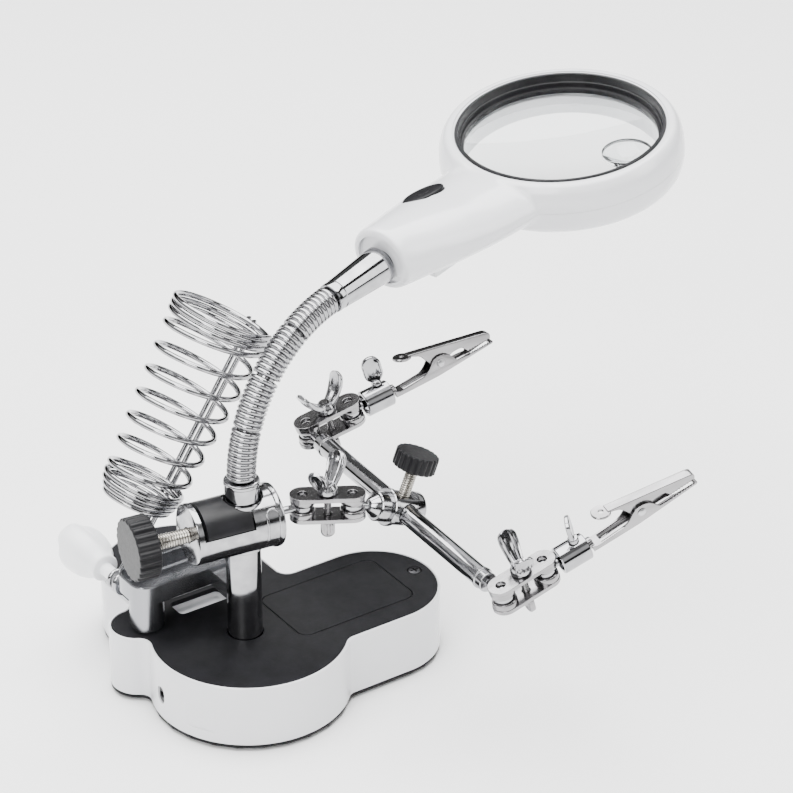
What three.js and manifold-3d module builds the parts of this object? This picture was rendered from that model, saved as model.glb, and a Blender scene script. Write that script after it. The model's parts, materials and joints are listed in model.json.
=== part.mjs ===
// Soldering helping-hands stand: weighted base, column, gooseneck magnifier, iron holder, two clip arms.
// Millimetres, +Z up. The origin is on the table, on the column's axis; +X runs along the battery arm.
import * as THREE from "three";
import { mergeVertices } from "three/addons/utils/BufferGeometryUtils.js";
import Module from "manifold-3d";

const wasm = await Module();
wasm.setup();

// ---- driving dimensions -------------------------------------------------------------------------
const GAP = 0.3; // air between pieces that touch
const FOOT_H = 1.6;
const BASE_H = 34; // table to the top of the base plate
const PLATE_T = 2.4;
const WALL = 2;
const RIM = 1.5; // white rim showing round the black plate

const NEAR = { x: 0.9, y: -2.2, r: 45.3 }; // lobe under the column
const ARM = { x: 70.2, y: -1.7, r: 30.1 }; // battery arm, a stadium along X
const FAR = { x: 3.6, y: 66.6, r: 35.1 }; // lobe behind the tray
const LEFT = { x: -38.3, y: 33.1, r: 11.9 }; // small lobe under the tray's leg
const FILLET = 7; // inside corners of the outline
const LOBE_STEP = 15; // degrees between two points of the outline

const DOOR = { x0: 19, x1: 82, y0: -20, y1: 19, r: 5 };
const JACK = { angle: 176.6, panel: 208.5, z: 15.5 };
const SLOT = { x0: -17.6, x1: 8.7, y0: 27.9, y1: 39.1, r: 2.5, depth: 5 };

const POST_R = 8.1;
const POST_TOP = 115.5;
const SLEEVE_T = 0.9;

const CAST = { z: 93, yaw: -8, r: 14.4, x0: -27, x1: 15 }; // column clamp, a cylinder on its side
const JAW = { x0: -22.4, x1: 0.4, z: 3.2, stem: 6.8 };
const SCREW_R = 3.6;
const KNOB = { r: 14.8, t: 10.8, x: -50.4 };

const BALL_R = 4.8;
const NECK_R = 1.8;
const PLATE_GAP = 4.5; // ball centre to a clamp plate's inner face
const CLAMP = { span: 22.8, r: 6.1, t: 2 };
const WING = { half: 3.6, length: 17, lean: 38 };

const BAR = { r: 4.7, near: 75.5, far: 70.4, ball: 12 };
const TEE = { length: 27, r: 8.2, yaw: -2.8, pitch: -21.5 };
const BAR_KNOB = { r: 10.3, t: 8.2, z: 24.4 };

const SOCKET = { x0: 7.5, length: 14.4, r: 6.5, hole: 9.4 };
const CLIP = { width: 7, wall: 0.8, pivotX: 26.7, pivotZ: 1.9, stretch: 1.07, cant: 3.5 };

const NECK = { r: 6.8, bend: 68, sweep: 82.5, pieces: 4, gap: 1.4, yaw: 14 };
const HEAD = { reach: 223.3, z: 212.6, bezel: 50.7, lens: 47.4, shell: 59.3, height: 26.5 };

const TRAY = { x0: -43.2, x1: 14.4, y0: 21, y1: 45.5, z0: 49.3, z1: 59.2, wall: 1.6, r: 8.1 };
const HOLDER = { x: -37.7, y: 49.6, z: 48.6, lean: 55.9 };
const COIL = { wire: 1.35, rTop: 23.8, rLow: 17.8, s0: 41, s1: 138 };

// ---- materials ----------------------------------------------------------------------------------
const finish = (color, roughness, metalness) =>
  new THREE.MeshStandardMaterial({ color, roughness, metalness });
const white = finish(0xf1f2f4, 0.32, 0);
const black = finish(0x26262a, 0.5, 0);
const rubber = finish(0x1c1c1e, 0.85, 0);
const chrome = finish(0xc9cbd0, 0.12, 1);
const brass = finish(0x8f8468, 0.35, 1);
const steel = finish(0x8b8d90, 0.4, 1);
const glass = finish(0xe8f0f2, 0.03, 0);
glass.transparent = true;
glass.opacity = 0.3;

// ---- joining and cutting ------------------------------------------------------------------------
function solid(geometry) {
  const bare = geometry.index ? geometry.toNonIndexed() : geometry.clone();
  bare.deleteAttribute("normal");
  bare.deleteAttribute("uv");
  const merged = mergeVertices(bare, 1e-4);
  return new wasm.Manifold(
    new wasm.Mesh({
      numProp: 3,
      vertProperties: merged.attributes.position.array,
      triVerts: new Uint32Array(merged.index.array),
    }),
  );
}

function geometryOf(manifold) {
  const mesh = manifold.getMesh();
  const geometry = new THREE.BufferGeometry();
  geometry.setAttribute("position", new THREE.BufferAttribute(mesh.vertProperties, 3));
  geometry.setIndex(new THREE.BufferAttribute(mesh.triVerts, 1));
  const flat = geometry.toNonIndexed();
  flat.computeVertexNormals();
  return flat;
}

const join = (...geometries) => geometryOf(geometries.map(solid).reduce((a, b) => a.add(b)));
const cut = (body, ...tools) =>
  geometryOf(tools.map(solid).reduce((a, b) => a.subtract(b), solid(body)));
const keep = (body, tool) => geometryOf(solid(body).intersect(solid(tool)));

// ---- basic shapes -------------------------------------------------------------------------------
const rad = THREE.MathUtils.degToRad;

// A cylinder or cone along Z from z0 to z1.
function rod(r0, z0, z1, sides = 24, r1 = r0) {
  const g = new THREE.CylinderGeometry(r1, r0, z1 - z0, sides);
  return g.rotateX(Math.PI / 2).translate(0, 0, (z0 + z1) / 2);
}
// The same along X or along Y.
const rodX = (r0, x0, x1, sides = 24, r1 = r0) => rod(r0, x0, x1, sides, r1).rotateY(Math.PI / 2);
const rodY = (r0, y0, y1, sides = 24, r1 = r0) => rod(r0, y0, y1, sides, r1).rotateX(-Math.PI / 2);

function block(x0, x1, y0, y1, z0, z1) {
  const g = new THREE.BoxGeometry(x1 - x0, y1 - y0, z1 - z0);
  return g.translate((x0 + x1) / 2, (y0 + y1) / 2, (z0 + z1) / 2);
}

function ball(r, x = 0, y = 0, z = 0) {
  return new THREE.SphereGeometry(r, 12, 7).translate(x, y, z);
}

// The points of a shape's outline, with a point every few degrees of each arc.
function outlinePoints(shape, degrees) {
  const points = shape.curves.flatMap((curve) => {
    const sweep = curve.isEllipseCurve ? curve.aEndAngle - curve.aStartAngle : 0;
    const turn = curve.aClockwise ? -sweep : sweep;
    const angle = THREE.MathUtils.radToDeg(THREE.MathUtils.euclideanModulo(turn, 2 * Math.PI));
    return curve.getPoints(Math.max(1, Math.ceil(angle / degrees)));
  });
  return points.filter((p, i, all) => p.distanceTo(all.at(i - 1)) > 1e-3);
}

// A flat shape pulled up from z0 to z1.
function prism(shape, z0, z1, degrees = 24) {
  const outline = new THREE.Shape(outlinePoints(shape, degrees));
  const g = new THREE.ExtrudeGeometry(outline, { depth: z1 - z0, bevelEnabled: false });
  return g.translate(0, 0, z0);
}

function roundedRect(x0, x1, y0, y1, r) {
  const s = new THREE.Shape();
  s.absarc(x1 - r, y0 + r, r, -Math.PI / 2, 0);
  s.absarc(x1 - r, y1 - r, r, 0, Math.PI / 2);
  s.absarc(x0 + r, y1 - r, r, Math.PI / 2, Math.PI);
  s.absarc(x0 + r, y0 + r, r, Math.PI, 1.5 * Math.PI);
  return s;
}

const grownRect = ({ x0, x1, y0, y1, r }, grow) =>
  roundedRect(x0 - grow, x1 + grow, y0 - grow, y1 + grow, r);

function polygon(points) {
  return new THREE.Shape(points.map(([x, y]) => new THREE.Vector2(x, y)));
}

// A profile in X and Z, spread half each way along Y.
function sideProfile(points, half) {
  return prism(polygon(points), -half, half).rotateX(Math.PI / 2);
}

// A round grip with flutes, along Z.
function flutedGrip(r, z0, z1, flutes, depth) {
  const points = [];
  for (let i = 0; i < flutes * 4; i += 1) {
    const a = (i / (flutes * 4)) * 2 * Math.PI;
    const radius = i % 4 < 2 ? r : r - depth;
    points.push([radius * Math.cos(a), radius * Math.sin(a)]);
  }
  return prism(polygon(points), z0, z1);
}

// A ring turned about Z from a closed profile of [radius, z] points.
function turned(profile, segments) {
  const points = [...profile, profile[0]].map(([r, z]) => new THREE.Vector2(r, z));
  const g = new THREE.LatheGeometry(points, segments).rotateX(Math.PI / 2);
  return solidSign(g);
}

// Faces out, whichever way its profile was drawn.
function solidSign(geometry) {
  if (solid(geometry).volume() >= 0) return geometry;
  const flat = geometry.index ? geometry.toNonIndexed() : geometry;
  const p = flat.attributes.position.array;
  for (let i = 0; i < p.length; i += 9) {
    for (let k = 0; k < 3; k += 1) {
      [p[i + 3 + k], p[i + 6 + k]] = [p[i + 6 + k], p[i + 3 + k]];
    }
  }
  flat.deleteAttribute("normal");
  return flat;
}

// A round wire along a curve.
function wire(curve, radius, sides, steps) {
  const section = new THREE.Shape();
  section.absarc(0, 0, radius, 0, 2 * Math.PI);
  const g = new THREE.ExtrudeGeometry(section, {
    extrudePath: curve,
    steps,
    curveSegments: sides / 2,
    bevelEnabled: false,
  });
  return solidSign(g);
}

// Ovals of half width a and half height b, one for each [x, a, b, z] station, joined along X.
function loft(stations, sides = 24) {
  const positions = [];
  const ring = ([x, a, b, z]) =>
    Array.from({ length: sides }, (_, i) => {
      const t = (i / sides) * 2 * Math.PI;
      return [x, a * Math.cos(t), z + b * Math.sin(t)];
    });
  const rings = stations.map(ring);
  for (let k = 0; k + 1 < rings.length; k += 1) {
    for (let i = 0; i < sides; i += 1) {
      const j = (i + 1) % sides;
      positions.push(...rings[k][i], ...rings[k + 1][i], ...rings[k + 1][j]);
      positions.push(...rings[k][i], ...rings[k + 1][j], ...rings[k][j]);
    }
  }
  for (const [end, flip] of [[0, false], [rings.length - 1, true]]) {
    const centre = [stations[end][0], 0, stations[end][3]];
    for (let i = 0; i < sides; i += 1) {
      const a = rings[end][i];
      const b = rings[end][(i + 1) % sides];
      positions.push(...centre, ...(flip ? b : a), ...(flip ? a : b));
    }
  }
  const g = new THREE.BufferGeometry();
  g.setAttribute("position", new THREE.Float32BufferAttribute(positions, 3));
  return solidSign(g);
}

// ---- the assembly -------------------------------------------------------------------------------
const stand = new THREE.Group();

function add(parent, name, geometry, material) {
  const mesh = new THREE.Mesh(geometry, material);
  mesh.name = name;
  parent.add(mesh);
  return mesh;
}

// A group whose X axis points along yaw and pitch, turned about that axis by roll.
function frame(parent, origin, yaw = 0, pitch = 0, roll = 0) {
  const group = new THREE.Group();
  group.position.copy(origin);
  group.rotation.set(rad(roll), rad(-pitch), rad(yaw), "ZYX");
  parent.add(group);
  return group;
}

const heading = (yaw, pitch = 0) =>
  new THREE.Vector3(
    Math.cos(rad(yaw)) * Math.cos(rad(pitch)),
    Math.sin(rad(yaw)) * Math.cos(rad(pitch)),
    Math.sin(rad(pitch)),
  );

// ---- base ---------------------------------------------------------------------------------------
// Centre of the fillet circle that touches two lobes from outside.
function filletBetween(a, b, fillet) {
  const ra = a.r + fillet;
  const rb = b.r + fillet;
  const d = Math.hypot(b.x - a.x, b.y - a.y);
  const along = (ra * ra - rb * rb + d * d) / (2 * d);
  const side = Math.sqrt(ra * ra - along * along);
  const ux = (b.x - a.x) / d;
  const uy = (b.y - a.y) / d;
  return { x: a.x + ux * along - uy * side, y: a.y + uy * along + ux * side };
}

// The base's outline, grown outwards by off.
function baseOutline(off) {
  const s = new THREE.Shape();
  const f = FILLET - off;
  const angle = (from, to) => Math.atan2(to.y - from.y, to.x - from.x);
  // Near lobe and the battery arm's near edge.
  const armLow = ARM.y - ARM.r - FILLET;
  const low = { x: NEAR.x + Math.sqrt((NEAR.r + FILLET) ** 2 - (armLow - NEAR.y) ** 2), y: armLow };
  const leftFar = { x: FAR.x - FAR.r - FILLET, y: 0 };
  leftFar.y = LEFT.y + Math.sqrt((LEFT.r + FILLET) ** 2 - (leftFar.x - LEFT.x) ** 2);
  const corner = { x: FAR.x + FAR.r + FILLET, y: ARM.y + ARM.r + FILLET };
  const leftSide = filletBetween(NEAR, LEFT, FILLET);
  s.absarc(NEAR.x, NEAR.y, NEAR.r + off, angle(NEAR, leftSide), angle(NEAR, low));
  s.absarc(low.x, low.y, f, angle(low, NEAR), Math.PI / 2, true);
  s.absarc(ARM.x, ARM.y, ARM.r + off, -Math.PI / 2, Math.PI / 2);
  s.absarc(corner.x, corner.y, f, -Math.PI / 2, -Math.PI, true);
  s.absarc(FAR.x, FAR.y, FAR.r + off, 0, Math.PI);
  s.absarc(leftFar.x, leftFar.y, f, 0, angle(leftFar, LEFT), true);
  s.absarc(LEFT.x, LEFT.y, LEFT.r + off, angle(LEFT, leftFar), angle(LEFT, leftSide));
  s.absarc(leftSide.x, leftSide.y, f, angle(leftSide, LEFT), angle(leftSide, NEAR), true);
  return s;
}

function buildBase() {
  const deckTop = BASE_H - PLATE_T - GAP;
  const slotFloor = BASE_H - SLOT.depth;
  const slotBox = (grow, z0, z1) => prism(grownRect(SLOT, grow), z0, z1, 30);
  const doorBox = (grow, z0, z1) => prism(grownRect(DOOR, grow), z0, z1);

  const oval = (a, b, x0, x1) =>
    prism(roundedRect(-a, a, -b, b, a - 0.1), x0, x1, 30).rotateY(Math.PI / 2).rotateX(Math.PI / 2);
  const panelCut = prism(roundedRect(-6, 6, -7.5, 7.5, 1.5), 46, 60, 45).rotateY(Math.PI / 2);
  const onWall = (g, deg, z) => g.rotateZ(rad(deg)).translate(NEAR.x, NEAR.y, z);

  let shell = prism(baseOutline(RIM), FOOT_H + 1.2, BASE_H, LOBE_STEP);
  shell = cut(shell, prism(baseOutline(RIM - WALL), 0, deckTop - WALL, LOBE_STEP));
  shell = cut(shell, prism(baseOutline(GAP), deckTop, BASE_H + 1, LOBE_STEP));
  shell = join(shell, slotBox(WALL, slotFloor - 1.4, deckTop - 1));
  shell = cut(
    shell,
    slotBox(0, slotFloor, BASE_H),
    doorBox(-2.5, 20, BASE_H),
    rod(POST_R + GAP, 20, BASE_H),
    rod(1.9, 20, BASE_H, 12).translate(93.6, -1.8, 0),
    onWall(oval(3, 4.4, 38, 60), JACK.angle, JACK.z),
    onWall(panelCut, JACK.panel, JACK.z),
  );
  add(stand, "base_shell", shell, white);

  const plate = cut(
    prism(baseOutline(0), deckTop + GAP, BASE_H, LOBE_STEP),
    slotBox(0, 0, 50),
    doorBox(GAP, 0, 50),
    rod(POST_R + GAP, 20, 50),
    rod(1.9, 20, 50, 12).translate(93.6, -1.8, 0),
    rod(3.4, BASE_H - 1.2, 50, 16).translate(93.6, -1.8, 0),
  );
  add(stand, "top_plate", plate, black);
  add(stand, "battery_door", doorBox(0, deckTop + GAP, BASE_H), black);

  const screwHead = cut(
    join(rod(3, BASE_H - 0.9, BASE_H + 0.3, 16), rod(1.5, 26, BASE_H - 0.5, 10)),
    block(-1.8, 1.8, -0.35, 0.35, BASE_H - 0.5, BASE_H + 1),
    block(-0.35, 0.35, -1.8, 1.8, BASE_H - 0.5, BASE_H + 1),
  );
  add(frame(stand, new THREE.Vector3(93.6, -1.8, 0)), "plate_screw", screwHead, steel);

  const cover = cut(prism(baseOutline(RIM), FOOT_H, FOOT_H + 0.9, LOBE_STEP), rod(6.3, 0, 9, 16));
  add(stand, "bottom_cover", cover, black);
  const ballast = cut(
    prism(baseOutline(-4.5), FOOT_H + 1.4, FOOT_H + 8.4, LOBE_STEP),
    rod(POST_R + 1, 0, 20, 16),
  );
  add(stand, "ballast_plate", ballast, steel);

  const jack = cut(oval(2.6, 4, 39, 46.2), rodX(1.7, 41, 50, 12));
  add(stand, "dc_jack", onWall(jack, JACK.angle, JACK.z), black);

  const feet = [
    ["foot_column", 0, 0],
    ["foot_front", 4, -37],
    ["foot_right", 88, -1.7],
    ["foot_back", 3.6, 90],
    ["foot_left", -38, 33],
  ];
  for (const [name, x, y] of feet) {
    const stem = name === "foot_column" ? rod(5.8, 0, FOOT_H + 0.9, 20) : rod(6.5, 0, FOOT_H - GAP, 20);
    add(frame(stand, new THREE.Vector3(x, y, 0)), name, stem, rubber);
  }

  const post = join(
    rod(POST_R, FOOT_H + 1.4, POST_TOP, 28),
    rod(POST_R, POST_TOP - 9, POST_TOP - 1.8, 28, POST_R - 0.5),
    rod(POST_R + 0.5, POST_TOP - 2.6, POST_TOP, 28, POST_R + 0.2),
  );
  add(stand, "post", post, chrome);
}

// ---- tray and iron holder -----------------------------------------------------------------------
function buildTray() {
  const { x0, x1, y0, y1, z0, z1, wall, r } = TRAY;
  const outer = prism(roundedRect(x0, x1, y0, y1, r), z0, z1, 22);
  const well = prism(grownRect({ x0, x1, y0, y1, r: r - wall }, -wall), z0 + wall, z1 + 1, 22);
  const leg = rod(r, BASE_H + GAP, z1 - wall, 20).translate(x0 + r, y0 + r, 0);
  const neck = block(-5, 6, POST_R - 2, y0 + 1, z0, z1 - 2);
  const lug = rodY(5, y1 - 1.2, HOLDER.y - 3.5, 16).translate(HOLDER.x, 0, HOLDER.z);
  let tray = join(outer, leg, neck, lug);
  tray = cut(
    tray,
    well,
    rod(POST_R + GAP, 0, 90, 28),
    rodY(2.6, HOLDER.y - 9, HOLDER.y, 12).translate(HOLDER.x, 0, HOLDER.z),
  );
  add(stand, "sponge_tray", tray, chrome);
}

class HolderCoil extends THREE.Curve {
  // Turns close together at both ends and open between, on a cone.
  constructor() {
    super();
    this.turns = [4, 6.6, 3];
    this.pitch = [2.9, 0, 2.9];
    const open = COIL.s1 - COIL.s0 - this.turns[0] * 2.9 - this.turns[2] * 2.9;
    this.pitch[1] = open / this.turns[1];
    this.total = this.turns[0] + this.turns[1] + this.turns[2];
  }

  getPoint(t) {
    const n = t * this.total;
    const a = Math.min(n, this.turns[0]);
    const b = Math.min(Math.max(n - this.turns[0], 0), this.turns[1]);
    const c = Math.max(n - this.turns[0] - this.turns[1], 0);
    const s = COIL.s0 + a * this.pitch[0] + b * this.pitch[1] + c * this.pitch[2];
    const share = (s - COIL.s0) / (COIL.s1 - COIL.s0);
    const tighten = 3 * Math.max(0, 1 - n / 2.5);
    const r = COIL.rLow + (COIL.rTop - COIL.rLow) * share - tighten;
    const turn = 2 * Math.PI * n;
    return new THREE.Vector3(s, r * Math.cos(turn), r * Math.sin(turn));
  }
}

function buildHolder() {
  // The holder's frame starts at its pivot: X up along the coil, Y along the pivot, Z under the coil.
  const at = frame(stand, new THREE.Vector3(HOLDER.x, HOLDER.y, HOLDER.z), 0, HOLDER.lean, 0);
  const side = rad(18 - 90);
  const rodLine = (offset) => {
    const start = new THREE.Vector3(3.9, offset, 0);
    const end = new THREE.Vector3(COIL.s1 - 1, offset, 0);
    return new THREE.LineCurve3(start, end);
  };
  const lean = Math.atan2(COIL.rTop - COIL.rLow, COIL.s1 - COIL.s0);
  // The cone leans by its own half angle, so that its underside lies along the two straight wires.
  const coil = wire(new HolderCoil(), COIL.wire, 6, 112)
    .translate(-COIL.s0, 0, 0)
    .translate(0, Math.cos(side) * -1 * (COIL.rLow + 1.9), Math.sin(side) * -1 * (COIL.rLow + 1.9));
  coil.applyMatrix4(
    new THREE.Matrix4().makeRotationAxis(new THREE.Vector3(0, Math.sin(side), -Math.cos(side)), lean),
  );
  coil.translate(COIL.s0, 0, 0);
  const eye = cut(rodY(5, -3.2, 3.2, 16), rodY(2.6, -5, 5, 12));
  const holder = join(coil, wire(rodLine(-2.2), 1.2, 6, 1), wire(rodLine(2.2), 1.2, 6, 1), eye);
  add(at, "iron_holder", holder, chrome);

  const knobFrame = frame(stand, new THREE.Vector3(HOLDER.x, HOLDER.y, HOLDER.z));
  const lobes = [];
  for (let i = 0; i < 27; i += 1) {
    const a = (i / 27) * 2 * Math.PI;
    const r = 10.6 + 1.1 * Math.cos(3 * a);
    lobes.push([r * Math.cos(a), r * Math.sin(a)]);
  }
  const head = keep(
    prism(polygon(lobes), 0, 25.5),
    turned([[0, -1], [6.8, -1], [12.5, 10], [12.5, 20], [8.5, 26], [0, 26]], 18),
  );
  const knob = join(
    head.translate(0, 0, 18),
    rod(6.8, 12.5, 19, 20),
    rod(3.2, 3.5, 13, 14),
    rod(2.2, -8, 4, 10),
  );
  add(knobFrame, "holder_knob", knob.rotateX(-Math.PI / 2), white);
}

// ---- column clamp -------------------------------------------------------------------------------
function buildColumnClamp() {
  const at = frame(stand, new THREE.Vector3(0, 0, CAST.z), CAST.yaw);
  const bore = POST_R + GAP + SLEEVE_T;
  const sleeve = cut(rod(bore, -12.6, 12.6, 28), rod(POST_R + GAP, -20, 20, 28));
  add(at, "clamp_sleeve", sleeve, chrome);

  const slotTop = block(JAW.x0 - 1.8, JAW.x1 + GAP, -20, 20, JAW.z - GAP, 20);
  const slotStem = block(JAW.x0 - 1.8, 0, -JAW.stem - GAP, JAW.stem + GAP, -5.3, 10);
  let casting = join(
    rodX(CAST.r, CAST.x0, CAST.x1, 28),
    rodX(CAST.r + 0.7, CAST.x1 - 2.2, CAST.x1 + 0.4, 28),
  );
  casting = cut(
    casting,
    slotTop,
    slotStem,
    rod(bore + GAP, -30, 30, 28),
    rodX(SCREW_R + GAP, CAST.x0 - 5, 0, 16),
    rodX(NECK_R + 0.6, 8, 40, 12),
  );
  add(at, "clamp_casting", casting, chrome);

  let jaw = keep(rodX(CAST.r - 0.3, JAW.x0, JAW.x1, 28), block(-40, 20, -20, 20, JAW.z, 20));
  jaw = join(jaw, block(JAW.x0, -bore + 1, -JAW.stem, JAW.stem, -5, JAW.z + 3));
  jaw = cut(jaw, rod(bore + GAP, -30, 30, 28), block(0, 20, -20, 20, -20, 20));
  add(at, "clamp_jaw", jaw, black);

  const gripEnd = KNOB.x + KNOB.t / 2;
  add(at, "clamp_screw", rodX(SCREW_R, gripEnd - 6, JAW.x0 - GAP, 16), brass);
  const grip = cut(
    join(
      flutedGrip(KNOB.r, -KNOB.t / 2, KNOB.t / 2, 14, 1),
      rod(6.5, KNOB.t / 2 - 1, KNOB.t / 2 + 1.6, 16, 5.4),
    ),
    rod(SCREW_R + GAP, KNOB.t / 2 - 6.4, 30, 16),
  );
  add(at, "clamp_knob", grip.rotateY(Math.PI / 2).translate(KNOB.x, 0, 0), black);

  const stud = join(
    ballStud(30 - CAST.x1 - 0.7).rotateZ(Math.PI).translate(30, 0, 0),
    rodX(NECK_R + 0.2, 10, 18, 12),
  );
  add(at, "column_ball_stud", stud, chrome);
  return at.localToWorld(new THREE.Vector3(30, 0, 0));
}

// A ball on a neck that runs along +X to a collar.
function ballStud(length) {
  return join(
    ball(BALL_R),
    rodX(NECK_R, 2, length - 0.5, 8),
    rodX(3.6, length - 2, length, 16),
  );
}

// ---- ball clamp: two plates squeezed on two balls by a bolt and a wing nut ----------------------
function stadium(r, span) {
  const s = new THREE.Shape();
  s.absarc(span, 0, r, -Math.PI / 2, Math.PI / 2);
  s.absarc(0, 0, r, Math.PI / 2, 1.5 * Math.PI);
  return s;
}

function wingNut(z0) {
  const hub = rod(4.2, z0, z0 + 4.6, 16, 3.5);
  const wing = prism(roundedRect(-WING.half, WING.half, 0, WING.length, 3.4), -0.9, 0.9, 30)
    .rotateX(Math.PI / 2)
    .rotateZ(Math.PI / 2)
    .rotateY(rad(WING.lean))
    .translate(2, 0, z0 + 1.6);
  const other = wing.clone().rotateZ(Math.PI);
  return cut(join(hub, wing, other), rod(2.1, z0 - 5, z0 + 30, 12));
}

function buildBallClamp(name, at, wingTurn, paddleTurn) {
  const { span, r, t } = CLAMP;
  const mid = span / 2;
  const plate = (z0) =>
    cut(
      prism(stadium(r, span), z0, z0 + t, 26),
      rod(2.3, -9, 9, 12),
      rod(2.3, -9, 9, 12).translate(span, 0, 0),
      rod(2.1, -9, 9, 10).translate(mid, 0, 0),
    );
  add(at, name + "_top_plate", plate(PLATE_GAP), chrome);
  add(at, name + "_bottom_plate", plate(-PLATE_GAP - t), chrome);
  const under = -PLATE_GAP - t - GAP;
  const paddle = prism(roundedRect(-3.3, 3.3, -8.2, 1, 3.1), -1.2, 1.2, 30).rotateX(Math.PI / 2);
  const bolt = join(
    rod(1.75, under - 1, PLATE_GAP + t + 5.6, 12),
    rod(3.4, under - 1.8, under, 16),
    paddle.rotateZ(rad(paddleTurn)).translate(0, 0, under - 1.6),
  );
  const centre = frame(at, new THREE.Vector3(mid, 0, 0));
  add(centre, name + "_bolt", bolt, chrome);
  add(centre, name + "_wing_nut", wingNut(PLATE_GAP + t + GAP).rotateZ(rad(wingTurn)), chrome);
}

// ---- cross bar and the tee that holds it --------------------------------------------------------
function buildBarClamp(from) {
  const centre = from.clone().addScaledVector(heading(TEE.yaw, TEE.pitch), TEE.length);
  const at = frame(stand, centre, TEE.yaw, TEE.pitch);
  let tee = join(
    rodX(TEE.r, -8.3, 10, 20),
    rodX(TEE.r + 0.7, -8.3, -5.9, 20),
    rodX(7, -14.5, -8, 20),
    rodX(2.8, -18.5, -14.4, 16, 5.5),
    rodX(NECK_R, -TEE.length + 2, -18, 8),
    ball(BALL_R, -TEE.length),
  );
  tee = cut(
    tee,
    rodY(BAR.r + GAP, -20, 20, 20),
    block(-5.4, 6.4, -20, 20, 6.6, 20),
    rod(2.9 + GAP, 0, 20, 14),
  );
  add(at, "bar_clamp", tee, chrome);
  add(at, "bar_screw", rod(2.9, BAR.r + 2 * GAP, BAR_KNOB.z, 14), brass);
  const grip = cut(
    join(
      flutedGrip(BAR_KNOB.r, BAR_KNOB.z - BAR_KNOB.t / 2, BAR_KNOB.z + BAR_KNOB.t / 2, 12, 0.8),
      rod(4, BAR_KNOB.z - BAR_KNOB.t / 2 - 1.2, BAR_KNOB.z, 16),
    ),
    rod(2.9 + GAP, 0, BAR_KNOB.z + GAP, 14),
  );
  add(at, "bar_knob", grip, black);

  const barEnd = join(
    rodY(BAR.r + 0.5, -6, -4.4, 16),
    rodY(NECK_R, -1, BAR.ball - 1, 8),
    ball(BALL_R, 0, BAR.ball, 0),
  );
  const farEnd = barEnd.clone().translate(0, BAR.far, 0);
  const nearEnd = barEnd.clone().rotateX(Math.PI).translate(0, -BAR.near, 0);
  add(at, "cross_bar", join(rodY(BAR.r, -BAR.near, BAR.far, 16), farEnd, nearEnd), chrome);
  return {
    near: at.localToWorld(new THREE.Vector3(0, -BAR.near - BAR.ball, 0)),
    far: at.localToWorld(new THREE.Vector3(0, BAR.far + BAR.ball, 0)),
  };
}

// ---- clip socket and alligator clip -------------------------------------------------------------
function buildClip(name, clampFrame, [yaw, pitch, roll], paddleTurn) {
  const at = frame(clampFrame, new THREE.Vector3(CLAMP.span, 0, 0), yaw, pitch, roll);
  const end = SOCKET.x0 + SOCKET.length;
  const hole = SOCKET.x0 + SOCKET.hole;
  let socket = cut(
    rodX(SOCKET.r, SOCKET.x0, end, 20),
    rodX(4.9, SOCKET.x0 - 1, SOCKET.x0 + 2, 14),
    rodX(4.2, end - 9.6, end + 1, 14),
    rod(1.9, 0, 20, 12).translate(hole, 0, 0),
  );
  socket = join(socket, ball(BALL_R), rodX(NECK_R, 2, SOCKET.x0 + 3, 8));
  add(at, name + "_socket", socket, chrome);

  const paddle = prism(roundedRect(-4.8, 4.8, 0, 13.6, 4.4), -1.1, 1.1, 30).rotateX(Math.PI / 2);
  const thumb = join(
    rod(1.55, 3.2, 9, 12),
    rod(2.6, 6.9, 8.4, 14),
    paddle.rotateZ(rad(paddleTurn)).translate(0, 0, 8.4),
  );
  add(frame(at, new THREE.Vector3(hole, 0, 0)), name + "_thumb_screw", thumb, chrome);

  // The clip's tail sits loose in the socket, a little canted. Its profiles are drawn short, then stretched.
  const clip = frame(at, new THREE.Vector3(end, 0, 0), 0, CLIP.cant);
  const stretched = (geometry) => geometry.scale(CLIP.stretch, 1, CLIP.stretch);
  const { width, wall, pivotX, pivotZ } = CLIP;
  const half = width / 2;
  const pin = (r, y) => rodY(r, -y, y, 14).translate(pivotX, 0, pivotZ);
  // Lower jaw: a channel on a round tail, with a cheek each side of the pivot.
  let lower = sideProfile(
    [
      [1.5, -2.8], [24, -3.7], [53.2, -2.4], [53.8, -1.3], [34, -1.1],
      [31.5, 3.6], [28.4, 5.2], [24.4, 5], [20.6, 1.6], [17, -0.6], [4, -0.9], [1.5, 0.6],
    ],
    half,
  );
  lower = cut(
    lower,
    block(6, 33, -half + wall, half - wall, -2.9, 10),
    block(32.8, 52.2, -half + wall + 0.4, half - wall - 0.4, -2.2, 10),
    pin(1.2, 9),
  );
  lower = join(stretched(lower), rodX(2.8, -8.2, 3, 14));
  add(clip, name + "_lower_jaw", lower, chrome);

  // Upper jaw: a narrower channel with its cheeks inside the lower one, and a round pad at the back.
  let upper = sideProfile(
    [
      [13.6, 11.5], [19, 9.2], [23.2, 1.2], [26, -0.9], [29.4, -0.6], [32.6, 2.6], [39.6, 2.6],
      [41.2, -0.7], [53.8, -0.8], [54, 2.6], [51.4, 3.7], [13.6, 12.8],
    ],
    half - wall - GAP,
  );
  const trough = sideProfile([[14.4, 11.6], [14.4, -3], [51.8, -3], [51.8, 2.6]], 1.6);
  const disc = cut(rod(4.4, 0, 1.3, 16), rod(1.3, -1, 3, 10));
  const pad = disc.translate(11.6, 0, 0).rotateY(rad(14)).translate(-0.2, 0, 14.4);
  upper = join(cut(upper, trough, pin(1.2, 9)), pad);
  add(clip, name + "_upper_jaw", stretched(upper), chrome);
  const rivetHead = rodY(1.9, half + GAP, half + 0.9, 14).translate(pivotX, 0, pivotZ);
  const otherHead = rivetHead.clone().translate(0, -2 * half - GAP - 0.9, 0);
  const rivet = join(pin(0.9, half + 0.8), rivetHead, otherHead);
  add(clip, name + "_rivet", stretched(rivet), steel);
}

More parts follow.
